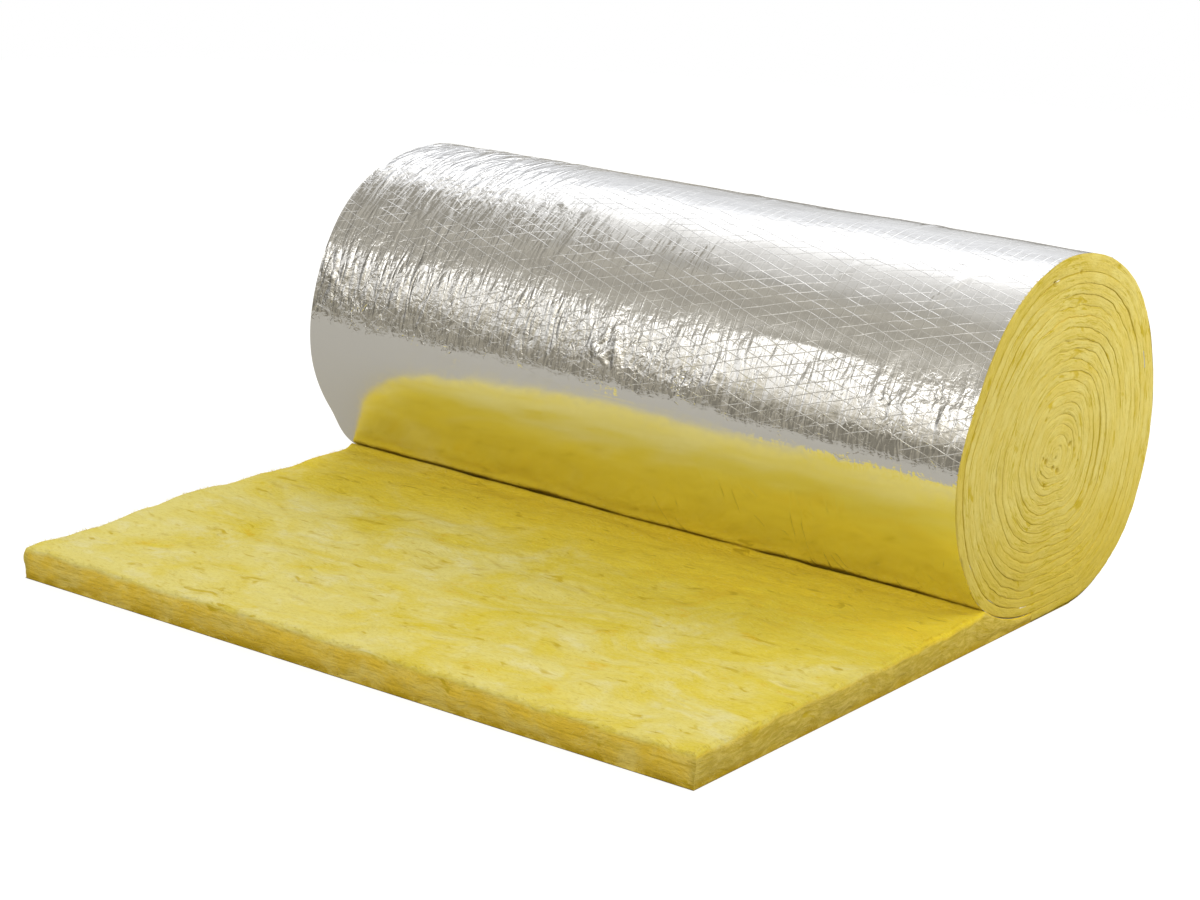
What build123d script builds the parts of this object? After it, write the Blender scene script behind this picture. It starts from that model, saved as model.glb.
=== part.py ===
from build123d import *
import math
import os

# A foil-faced glass wool blanket, wound into a roll with its free end laid out flat on the floor.
# The roll lies along X. The free end, the tongue, points to -Y with its wool up and its facing on the floor.
# It runs on under the roll, which squeezes it flat there, and then climbs the back as the roll's outer turn.
# The origin is on the floor, at the middle of the whole object.

# Blanket
blanket_width = 1200.0  # along X, the width that such blankets are sold in
blanket_thickness = 50.0  # wool and facing together, where nothing presses on them
facing_thickness = 0.5  # foil, scrim and backing paper

# Section across the roll
tongue_length = 631.0  # front edge of the tongue to the roll's foremost line
core_height = 250.0  # floor to the core, the middle of the winding
front_reach = 299.0  # core to the roll's foremost line
back_reach = 311.0  # core to the roll's rearmost line
top_reach = 306.0  # core to the roll's top line
seat_thickness = 15.0  # blanket squeezed between the roll and the floor
seat_front = 35.0  # flat of the seat, ahead of the core
seat_back = 85.0  # flat of the seat, behind the core

# Turns, which show on both ends as one spiral line
outer_turn = 24.0  # the loose outermost turn
turn_pitch = 16.0  # the tight turns inside it
core_radius = 12.0  # where the winding begins
line_width = 1.2
line_depth = 4.0

# Worked out from the sizes above
half_width = blanket_width / 2
front_edge = -(tongue_length + front_reach + back_reach) / 2
core_y = front_edge + tongue_length + front_reach
core = (core_y, core_height)
seat_radius = core_height - seat_thickness
turn_count = max(1, round((front_reach - outer_turn - core_radius) / turn_pitch))


def crease_angle(inset):
    """Angle below the roll's foremost line at which its outside, moved in by inset, meets the tongue's top."""
    return math.degrees(math.asin((core_height - blanket_thickness) / (seat_radius - inset)))


def roll_outside(inset):
    """Draws the roll's outside, moved in by inset, from the floor up the back, over the top and to the crease."""
    back = EllipticalCenterArc(
        (core_y + seat_back, core_height),
        back_reach - seat_back - inset,
        core_height - inset,
        270,
    )
    EllipticalCenterArc(core, back_reach - inset, top_reach - inset, 0)
    EllipticalCenterArc(core, front_reach - inset, top_reach - inset, 90)
    front = EllipticalCenterArc(
        (core_y - seat_front, core_height),
        front_reach - seat_front - inset,
        seat_radius - inset,
        180,
        arc_size=crease_angle(inset),
    )
    return back @ 0, front @ 1


def wound_in(reach, turn):
    """Distance from the core to a line that starts this far out, after so many turns."""
    return reach + (core_radius - reach) * turn / turn_count


def turn_line(inset):
    """Draws the spiral between the turns, moved in by inset, from the crease round and round to the core."""
    first = EllipticalCenterArc(
        (core_y - seat_front, core_height),
        front_reach - seat_front - inset,
        seat_radius - inset,
        180 + crease_angle(inset),
        arc_size=90 - crease_angle(inset),
    )
    for turn in range(turn_count):
        below = wound_in(seat_radius, turn)
        below_next = wound_in(seat_radius, turn + 1)
        behind = wound_in(back_reach - outer_turn, turn)
        above = wound_in(top_reach - outer_turn, turn)
        ahead = wound_in(front_reach - outer_turn, turn)
        flat_front = seat_front * below / seat_radius
        flat_back = seat_back * below / seat_radius
        next_front = seat_front * below_next / seat_radius
        flat_height = core_height - below + inset
        Line((core_y - flat_front, flat_height), (core_y + flat_back, flat_height))
        EllipticalCenterArc(
            (core_y + flat_back, core_height),
            behind - flat_back - inset,
            below - inset,
            270,
        )
        EllipticalCenterArc(core, behind - inset, above - inset, 0)
        EllipticalCenterArc(core, ahead - inset, above - inset, 90)
        last = EllipticalCenterArc(
            (core_y - next_front, core_height),
            ahead - next_front - inset,
            below_next - inset,
            180,
        )
    return first @ 0, last @ 1


os.makedirs("parts", exist_ok=True)

# Wool: the tongue and the wound roll are one length of blanket, with the turns cut as a line into both ends
with BuildPart() as wool_blanket:
    with BuildSketch(Plane.YZ) as wool_section:
        with BuildLine() as wool_outline:
            seat_end, crease = roll_outside(facing_thickness)
            Polyline(
                crease,
                (front_edge, blanket_thickness),
                (front_edge, facing_thickness),
                seat_end,
            )
        make_face()
    extrude(amount=half_width, both=True)
    with BuildSketch(Plane.YZ.offset(half_width - line_depth), Plane.YZ.offset(-half_width)) as turns:
        with BuildLine() as turns_outline:
            outer_start, outer_end = turn_line(0)
            inner_start, inner_end = turn_line(line_width)
            Line(outer_start, inner_start)
            Line(outer_end, inner_end)
        make_face()
    extrude(amount=line_depth, mode=Mode.SUBTRACT)
wool_blanket.part.label = "wool_blanket"
export_step(wool_blanket.part, "parts/wool_blanket.step")

# Facing: one sheet under the tongue and the seat, up the back, over the top and down into the crease
with BuildPart() as foil_facing:
    with BuildSketch(Plane.YZ) as facing_section:
        with BuildLine() as facing_outline:
            floor_end, outer_crease = roll_outside(0)
            wool_end, inner_crease = roll_outside(facing_thickness)
            Line(outer_crease, inner_crease)
            Polyline(
                wool_end,
                (front_edge, facing_thickness),
                (front_edge, 0),
                floor_end,
            )
        make_face()
    extrude(amount=half_width, both=True)
foil_facing.part.label = "foil_facing"
export_step(foil_facing.part, "parts/foil_facing.step")
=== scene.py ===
"""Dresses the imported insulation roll: crimped foil facing, fibrous glass wool, wound ends and loose tufts.

Everything is in metres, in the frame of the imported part: the roll lies along X, the free end of the blanket
(the tongue) points to -Y and the floor is at Z 0.
"""

import logging
import math
import random
from collections.abc import Callable, Iterable
from dataclasses import dataclass
from enum import Enum
from functools import lru_cache

import bmesh
import bpy
from mathutils import Matrix, Vector, kdtree, noise

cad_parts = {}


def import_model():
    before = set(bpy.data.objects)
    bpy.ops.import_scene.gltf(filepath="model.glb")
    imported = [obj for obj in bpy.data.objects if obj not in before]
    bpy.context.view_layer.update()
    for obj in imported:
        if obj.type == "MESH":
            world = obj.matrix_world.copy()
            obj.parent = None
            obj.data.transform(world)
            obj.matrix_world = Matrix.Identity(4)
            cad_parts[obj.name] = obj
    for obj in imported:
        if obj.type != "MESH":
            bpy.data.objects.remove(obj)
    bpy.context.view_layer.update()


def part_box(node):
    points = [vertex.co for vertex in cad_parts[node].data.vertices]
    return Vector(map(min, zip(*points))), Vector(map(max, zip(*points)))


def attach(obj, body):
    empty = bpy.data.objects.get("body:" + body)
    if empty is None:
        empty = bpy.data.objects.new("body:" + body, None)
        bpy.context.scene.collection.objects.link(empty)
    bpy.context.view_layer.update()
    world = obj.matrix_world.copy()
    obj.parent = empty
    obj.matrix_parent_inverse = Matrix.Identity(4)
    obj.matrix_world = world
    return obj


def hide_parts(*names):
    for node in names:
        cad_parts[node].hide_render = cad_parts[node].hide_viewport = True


LOG = logging.getLogger("insulation_roll")
BODY = "root"
WOOL_NODE = "wool_blanket"
FOIL_NODE = "foil_facing"
FIBRE_MAP = "fibres"
WOOL_NUMBERS = ("cut", "side", "tear")

Colour = tuple[float, float, float, float]
Socket = bpy.types.NodeSocket


def grain(x: float, y: float, z: float) -> float:
    """Smooth noise of about -1 to 1 at a point."""
    return noise.noise(Vector((x, y, z)))


def smooth_step(low: float, high: float, value: float) -> float:
    """Rises smoothly from 0 at low to 1 at high."""
    share = min(1.0, max(0.0, (value - low) / (high - low)))
    return share * share * (3.0 - 2.0 * share)


def spaced(start: float, end: float, count: int) -> list[float]:
    """Evenly spaced values from start up to, but not including, end."""
    return [start + (end - start) * step / count for step in range(count)]


@dataclass(frozen=True)
class Ripple:
    """Smooth unevenness: its height, its waves to the metre each way and a layer of its own."""

    height: float
    first_waves: float
    second_waves: float
    layer: float = 0.0

    def at(self, first: float, second: float, shift: float = 0.0) -> float:
        """Height at a point.

        Args:
            first: the place of the point along the first way.
            second: its place along the second way.
            shift: how far into other layers it is.

        Returns:
            The height, which may be negative.
        """
        return self.height * grain(first * self.first_waves, second * self.second_waves, self.layer + shift)


def mapped_grid(
    columns: int, rows: int, place: Callable[[int, int], Vector], numbers: Iterable[str] = ()
) -> tuple[bmesh.types.BMesh, dict[bmesh.types.BMVert, tuple[int, int]]]:
    """Makes a flat grid, with an empty fibre map, and moves each of its corners to its place.

    Args:
        columns: faces across the grid.
        rows: faces up the grid.
        place: gives the place of the corner in a column and a row.
        numbers: names of the numbers that its corners carry.

    Returns:
        The grid, and the column and row of each of its corners.
    """
    mesh = bmesh.new()
    mesh.loops.layers.uv.new(FIBRE_MAP)
    for name in numbers:
        mesh.verts.layers.float.new(name)
    bmesh.ops.create_grid(mesh, x_segments=columns, y_segments=rows, size=0.5)
    corners = {}
    for vert in mesh.verts:
        corners[vert] = (round((vert.co.x + 0.5) * columns), round((vert.co.y + 0.5) * rows))
    for vert, (column, row) in corners.items():
        vert.co = place(column, row)
    return mesh, corners


def corner_tree(
    mesh: bmesh.types.BMesh, flat: Callable[[bmesh.types.BMVert], tuple[float, float]]
) -> kdtree.KDTree:
    """Sorts the corners of a sheet by where they lie on the flat.

    Args:
        mesh: the sheet.
        flat: gives the place of a corner on the flat sheet.

    Returns:
        The tree, which finds the numbers of the corners near a point.
    """
    mesh.verts.ensure_lookup_table()
    tree = kdtree.KDTree(len(mesh.verts))
    for index, vert in enumerate(mesh.verts):
        tree.insert((*flat(vert), 0.0), index)
    tree.balance()
    return tree


def run_lengths(points: list[tuple[float, float]]) -> list[float]:
    """Distance along a line of points to each of its points."""
    lengths = [0.0]
    for before, after in zip(points, points[1:]):
        lengths.append(lengths[-1] + math.dist(before, after))
    return lengths


def to_object(name: str, mesh: bmesh.types.BMesh, sharp_degrees: float) -> bpy.types.Object:
    """Turns a finished bmesh into a smooth object at the origin.

    Args:
        name: the piece's name.
        mesh: the bmesh, which is freed.
        sharp_degrees: edges that turn by more than this stay sharp.

    Returns:
        The new object.
    """
    data = bpy.data.meshes.new(name)
    mesh.to_mesh(data)
    mesh.free()
    data.shade_smooth()
    data.set_sharp_from_angle(angle=math.radians(sharp_degrees))
    piece = bpy.data.objects.new(name, data)
    bpy.context.scene.collection.objects.link(piece)
    return piece


class Side(Enum):
    """Directions from the core in which the reach of the winding is given."""

    FLOOR = 0
    BACK = 1
    TOP = 2
    FRONT = 3


@dataclass(frozen=True)
class Bulge:
    """A place where the roll stands out from its even section, or lies inside it if the size is negative."""

    degrees: float
    spread: float
    near: float
    far: float

    def at(self, degrees: float, far_share: float) -> float:
        """How far the roll stands out.

        Args:
            degrees: the direction from the core, from +Y towards +Z.
            far_share: 0 at the near end of the roll and 1 at the far end.

        Returns:
            The distance.
        """
        off = (degrees - self.degrees + 180.0) % 360.0 - 180.0
        size = self.near + (self.far - self.near) * far_share
        return size * math.exp(-((off / self.spread) ** 2))


@dataclass(frozen=True)
class Winding:
    """The section across the roll: one spiral line from the floor round and round to the core."""

    half_width: float
    front_edge: float
    thickness: float = 0.050
    tongue_length: float = 0.631
    core_height: float = 0.250
    front_reach: float = 0.299
    back_reach: float = 0.311
    top_reach: float = 0.306
    seat_thickness: float = 0.015
    seat_front: float = 0.035
    seat_back: float = 0.085
    outer_turn: float = 0.027
    front_squeeze: float = 0.68
    core_radius: float = 0.0015
    turns: int = 17
    seat_share: float = 0.06
    far_end_sag: float = 0.070
    wander: Ripple = Ripple(0.0042, 7.0, 7.0, 3.1)
    unevenness: Ripple = Ripple(0.0034, 17.0, 17.0)
    unevenness_drift: float = 1.7
    jitter: Ripple = Ripple(0.0025, 46.0, 46.0)
    jitter_drift: float = 2.3
    calm_radius: float = 0.03
    bulge_foot: float = 0.03
    bulge_full: float = 0.12
    bulges: tuple[Bulge, ...] = (
        Bulge(-40.0, 20.0, 0.0075, 0.0030),
        Bulge(0.0, 24.0, 0.0035, 0.0),
        Bulge(45.0, 24.0, 0.0065, 0.0),
        Bulge(132.0, 28.0, 0.0, 0.0150),
        Bulge(150.0, 15.0, -0.0090, -0.0020),
        Bulge(170.0, 9.0, 0.0022, 0.0),
        Bulge(208.0, 21.0, -0.0080, -0.0160),
    )

    @property
    def core_y(self) -> float:
        """Y of the middle of the winding."""
        return self.front_edge + self.tongue_length + self.front_reach

    @property
    def seat_radius(self) -> float:
        """Core to the top of the blanket that is squeezed under the roll."""
        return self.core_height - self.seat_thickness

    @lru_cache(maxsize=None)
    def reach(self, side: Side, turn: int) -> float:
        """Distance from the core to the winding line.

        Args:
            side: the direction from the core.
            turn: 0 on the outside of the roll, and one more for each turn inwards.

        Returns:
            The distance.
        """
        outside = (self.core_height, self.back_reach, self.top_reach, self.front_reach)[side.value]
        if turn == 0:
            return outside
        squeezed = self.front_squeeze if side is Side.FRONT else 1.0
        first = self.seat_radius if side is Side.FLOOR else outside - self.outer_turn * squeezed
        share = min(1.0, (turn - 1) / self.turns)
        return first + (self.core_radius - first) * share

    def line(self, turn: int, phase: float) -> tuple[float, float]:
        """Point of the even winding line, before it wanders.

        Args:
            turn: 0 on the outside of the roll, and one more for each turn inwards.
            phase: 0 at the front of the seat, then along the seat, up the back, over the top and down to 1.

        Returns:
            Y and Z of the point.
        """
        floor, back, top, front = (self.reach(side, turn) for side in Side)
        scale = floor / self.reach(Side.FLOOR, min(turn, 1))
        if phase < self.seat_share:
            along = phase / self.seat_share
            offset = -self.seat_front + (self.seat_front + self.seat_back) * along
            return self.core_y + offset * scale, self.core_height - floor
        position = (phase - self.seat_share) / (1.0 - self.seat_share) * 4.0
        quarter = min(int(position), 3)
        angle = (position - quarter) * math.pi / 2
        sine, cosine = math.sin(angle), math.cos(angle)
        if quarter == 0:
            flat = self.seat_back * scale
            return self.core_y + flat + (back - flat) * sine, self.core_height - floor * cosine
        if quarter == 1:
            return self.core_y + back * cosine, self.core_height + top * sine
        if quarter == 2:
            return self.core_y - front * sine, self.core_height + top * cosine
        below = self.reach(Side.FLOOR, turn + 1)
        flat = self.seat_front * below / self.seat_radius
        return self.core_y - flat - (front - flat) * cosine, self.core_height - below * sine

    def wound(self, turn: int, phase: float) -> tuple[float, float]:
        """Point of the winding line as it really runs, wandering and uneven inside the roll."""
        y, z = self.line(turn, phase)
        if turn == 0:
            return y, z
        off_y, off_z = y - self.core_y, z - self.core_height
        radius = max(1e-6, math.hypot(off_y, off_z))
        inside = min(1.0, (turn - 1 + phase) / 2.0) * min(1.0, radius / self.calm_radius)
        shift = self.wander.at(y, z)
        shift += self.unevenness.at(y, z, (turn + phase) * self.unevenness_drift)
        shift += self.jitter.at(y, z, (turn + phase) * self.jitter_drift)
        scale = 1.0 + inside * shift / radius
        return self.core_y + off_y * scale, self.core_height + off_z * scale

    def settled(self, x: float, y: float, z: float) -> Vector:
        """Place of a point of the roll once the roll has bulged and its far end has sagged."""
        far = (self.half_width - x) / (2.0 * self.half_width)
        off_y, off_z = y - self.core_y, z - self.core_height
        degrees = math.degrees(math.atan2(off_z, off_y))
        stand = sum(bulge.at(degrees, far) for bulge in self.bulges)
        stand *= smooth_step(self.bulge_foot, self.bulge_full, z)
        scale = 1.0 + stand / self.top_reach
        sag = self.far_end_sag * far * max(0.0, off_z)
        return Vector((x, self.core_y + off_y * scale, self.core_height + off_z * scale - sag))

    def underside(self, y: float) -> float:
        """Height of the roll's lower front surface above the floor, or a large height where there is none."""
        middle = self.core_y - self.seat_front
        across = self.front_reach - self.seat_front
        share = (middle - y) / across
        if share >= 1.0:
            return 1.0
        return self.core_height - self.seat_radius * math.sqrt(1.0 - max(0.0, share) ** 2)


class Graph:
    """Adds nodes to a node tree and joins them."""

    MIX_COLOUR_SOCKETS = (0, 6, 7, 2)

    def __init__(self, tree: bpy.types.NodeTree) -> None:
        """Works on a tree."""
        self.tree = tree

    def add(self, kind: str, values: dict[str, object] | None = None, **settings: object) -> bpy.types.Node:
        """Adds a node.

        Args:
            kind: the node's type.
            values: what goes into its inputs, by their names: a socket to join or a plain value.
            settings: the node's own settings.

        Returns:
            The node.
        """
        node = self.tree.nodes.new(kind)
        for name, value in settings.items():
            setattr(node, name, value)
        for name, value in (values or {}).items():
            self.feed(node.inputs[name], value)
        return node

    def feed(self, socket: Socket, value: object) -> None:
        """Joins a socket to an input, or sets a plain value on it."""
        if isinstance(value, bpy.types.NodeSocket):
            self.tree.links.new(value, socket)
        else:
            socket.default_value = value

    def maths(self, operation: str, *values: object) -> Socket:
        """Adds a Math node and returns its value."""
        node = self.add("ShaderNodeMath", operation=operation)
        for socket, value in zip(node.inputs, values):
            self.feed(socket, value)
        return node.outputs[0]

    def times(self, *values: object) -> Socket:
        """Multiplies two or more values and returns the product."""
        product = values[0]
        for value in values[1:]:
            product = self.maths("MULTIPLY", product, value)
        return product

    def off_middle(self, value: Socket) -> Socket:
        """Returns how far a noise is from its middle value."""
        return self.maths("ABSOLUTE", self.maths("SUBTRACT", value, 0.5))

    def split(self, vector: Socket) -> tuple[Socket, ...]:
        """Splits coordinates into X, Y and Z."""
        return tuple(self.add("ShaderNodeSeparateXYZ", {"Vector": vector}).outputs)

    def stretched(self, vector: Socket, scale: tuple[float, float, float]) -> Socket:
        """Stretches a pattern's coordinates and returns them."""
        return self.add("ShaderNodeMapping", {"Vector": vector, "Scale": scale}).outputs[0]

    def pushed(self, vector: Socket, push: Socket, size: tuple[float, float, float]) -> Socket:
        """Pushes coordinates by another vector times a size and returns them."""
        node = self.add("ShaderNodeVectorMath", operation="MULTIPLY_ADD")
        for socket, value in zip(node.inputs, (push, size, vector)):
            self.feed(socket, value)
        return node.outputs[0]

    def noise(
        self, vector: Socket, scale: float, detail: float = 2.0, rough: float = 0.5, bend: float = 0.0
    ) -> Socket:
        """Adds a Noise texture and returns its value."""
        values = {"Vector": vector, "Scale": scale, "Detail": detail, "Roughness": rough, "Distortion": bend}
        return self.add("ShaderNodeTexNoise", values).outputs[0]

    def swirl(self, vector: Socket, scale: float, detail: float) -> Socket:
        """Adds a Noise texture and returns it as a vector."""
        values = {"Vector": vector, "Scale": scale, "Detail": detail}
        return self.add("ShaderNodeTexNoise", values).outputs["Color"]

    def cells(self, vector: Socket, scale: float, feature: str = "F1") -> Socket:
        """Adds a Voronoi texture and returns the distance from the middle of each cell, or from its edge."""
        node = self.add("ShaderNodeTexVoronoi", feature=feature)
        self.feed(node.inputs["Vector"], vector)
        self.feed(node.inputs["Scale"], scale)
        return node.outputs["Distance"]

    def ramp(self, value: Socket, low: float, high: float, start: float = 0.0, end: float = 1.0) -> Socket:
        """Maps low to high onto start to end, smoothly, and returns the result."""
        node = self.add("ShaderNodeMapRange", interpolation_type="SMOOTHSTEP")
        for socket, item in zip(node.inputs, (value, low, high, start, end)):
            self.feed(socket, item)
        return node.outputs[0]

    def mixed(self, share: object, first: object, second: object) -> Socket:
        """Mixes two colours and returns the result."""
        node = self.add("ShaderNodeMix", data_type="RGBA")
        factor, first_in, second_in, out = self.MIX_COLOUR_SOCKETS
        self.feed(node.inputs[factor], share)
        self.feed(node.inputs[first_in], first)
        self.feed(node.inputs[second_in], second)
        return node.outputs[out]

    def attribute(self, name: str) -> Socket:
        """Reads a number that the mesh carries."""
        return self.add("ShaderNodeAttribute", attribute_name=name).outputs["Fac"]


def new_group(
    name: str, inputs: dict[str, str], outputs: dict[str, str]
) -> tuple[Graph, bpy.types.Node, bpy.types.Node]:
    """Starts a shader node group.

    Args:
        name: the group's name.
        inputs: its inputs, as names and socket types.
        outputs: its outputs, as names and socket types.

    Returns:
        The group's graph, its input node and its output node.
    """
    tree = bpy.data.node_groups.new(name, "ShaderNodeTree")
    for direction, sockets in (("INPUT", inputs), ("OUTPUT", outputs)):
        for socket_name, kind in sockets.items():
            tree.interface.new_socket(socket_name, in_out=direction, socket_type=kind)
    graph = Graph(tree)
    return graph, graph.add("NodeGroupInput"), graph.add("NodeGroupOutput")


def new_material(name: str) -> tuple[bpy.types.Material, Graph, bpy.types.Node]:
    """Starts a material and returns it with its graph and its Principled shader."""
    material = bpy.data.materials.new(name)
    material.use_nodes = True
    graph = Graph(material.node_tree)
    return material, graph, material.node_tree.nodes["Principled BSDF"]


@dataclass(frozen=True)
class WoolFibres:
    """The fibre pattern that all the wool shares: streaks, layers, clumps and how high they stand."""

    name: str = "wool_fibres"
    swirl_scale: float = 7.0
    swirl: float = 0.075
    wave_share: float = 0.12
    streak_scale: float = 170.0
    streak_stretch: float = 0.24
    streak_height: float = 0.5
    layer_scale: float = 210.0
    layer_stretch: float = 0.06
    seam_scale: float = 95.0
    seam_width: float = 0.024
    sparse_scale: float = 21.0
    nick_scale: float = 64.0
    nick_stretch: float = 0.30
    nick_height: float = -0.10
    clump_scale: float = 19.0
    clump_stretch: float = 0.7
    clump_height: float = 1.2
    patch_scale: float = 8.0
    patch_stretch: float = 0.75
    felt_scale: float = 330.0
    felt_stretch: float = 0.36
    felt_height: float = 0.36

    def group(self) -> bpy.types.NodeTree:
        """Builds the node group once and returns it."""
        if self.name in bpy.data.node_groups:
            return bpy.data.node_groups[self.name]
        outputs = ("Streak", "Layer", "Seam", "Nick", "Clump", "Patch", "Felt", "Height")
        graph, start, end = new_group(
            self.name,
            {"Place": "NodeSocketVector", "Along": "NodeSocketVector"},
            {name: "NodeSocketFloat" for name in outputs},
        )
        place, along = start.outputs["Place"], start.outputs["Along"]
        bent = self.bent(graph, place, along, self.swirl)
        waved = self.bent(graph, place, along, self.swirl * self.wave_share)
        streak = self.drawn(graph, bent, self.streak_stretch, self.streak_scale, 4.0, 0.62)
        layer = self.drawn(graph, waved, self.layer_stretch, self.layer_scale, 3.0, 0.6)
        sparse = graph.noise(place, self.sparse_scale)
        seam = self.drawn(graph, waved, self.layer_stretch, self.seam_scale, 3.0, 0.55)
        seam = graph.ramp(graph.off_middle(seam), self.seam_width, 0.0)
        seam = graph.times(seam, graph.ramp(sparse, 0.38, 0.60, 0.25, 1.0))
        nick = self.drawn(graph, bent, self.nick_stretch, self.nick_scale, 2.0, 0.5, 0.6)
        nick = graph.times(graph.ramp(nick, 0.60, 0.70), graph.ramp(sparse, 0.42, 0.60, 0.08, 1.0))
        clump = self.drawn(graph, bent, self.clump_stretch, self.clump_scale, 5.0, 0.66)
        patch = self.drawn(graph, place, self.patch_stretch, self.patch_scale, 5.0, 0.64, 0.9)
        felt = self.drawn(graph, bent, self.felt_stretch, self.felt_scale, 3.0, 0.7)
        height = graph.times(clump, self.clump_height)
        height = graph.maths("MULTIPLY_ADD", streak, self.streak_height, height)
        height = graph.maths("MULTIPLY_ADD", nick, self.nick_height, height)
        height = graph.maths("MULTIPLY_ADD", felt, self.felt_height, height)
        for name, value in zip(outputs, (streak, layer, seam, nick, clump, patch, felt, height)):
            graph.feed(end.inputs[name], value)
        return graph.tree

    def drawn(self, graph: Graph, vector: Socket, stretch: float, *pattern: float) -> Socket:
        """Returns a noise that is drawn out along the fibres."""
        return graph.noise(graph.stretched(vector, (stretch, 1.0, 1.0)), *pattern)

    def bent(self, graph: Graph, place: Socket, along: Socket, size: float) -> Socket:
        """Bends the fibre map so that the fibres swirl.

        Args:
            graph: the group's graph.
            place: the point on the object.
            along: the fibre map.
            size: how far the map is pushed.

        Returns:
            The bent map.
        """
        offset = graph.add("ShaderNodeVectorMath", operation="SUBTRACT")
        graph.feed(offset.inputs[0], graph.swirl(place, self.swirl_scale, 3.0))
        graph.feed(offset.inputs[1], (0.5, 0.5, 0.5))
        return graph.pushed(along, offset.outputs[0], (size, size, size))


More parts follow.
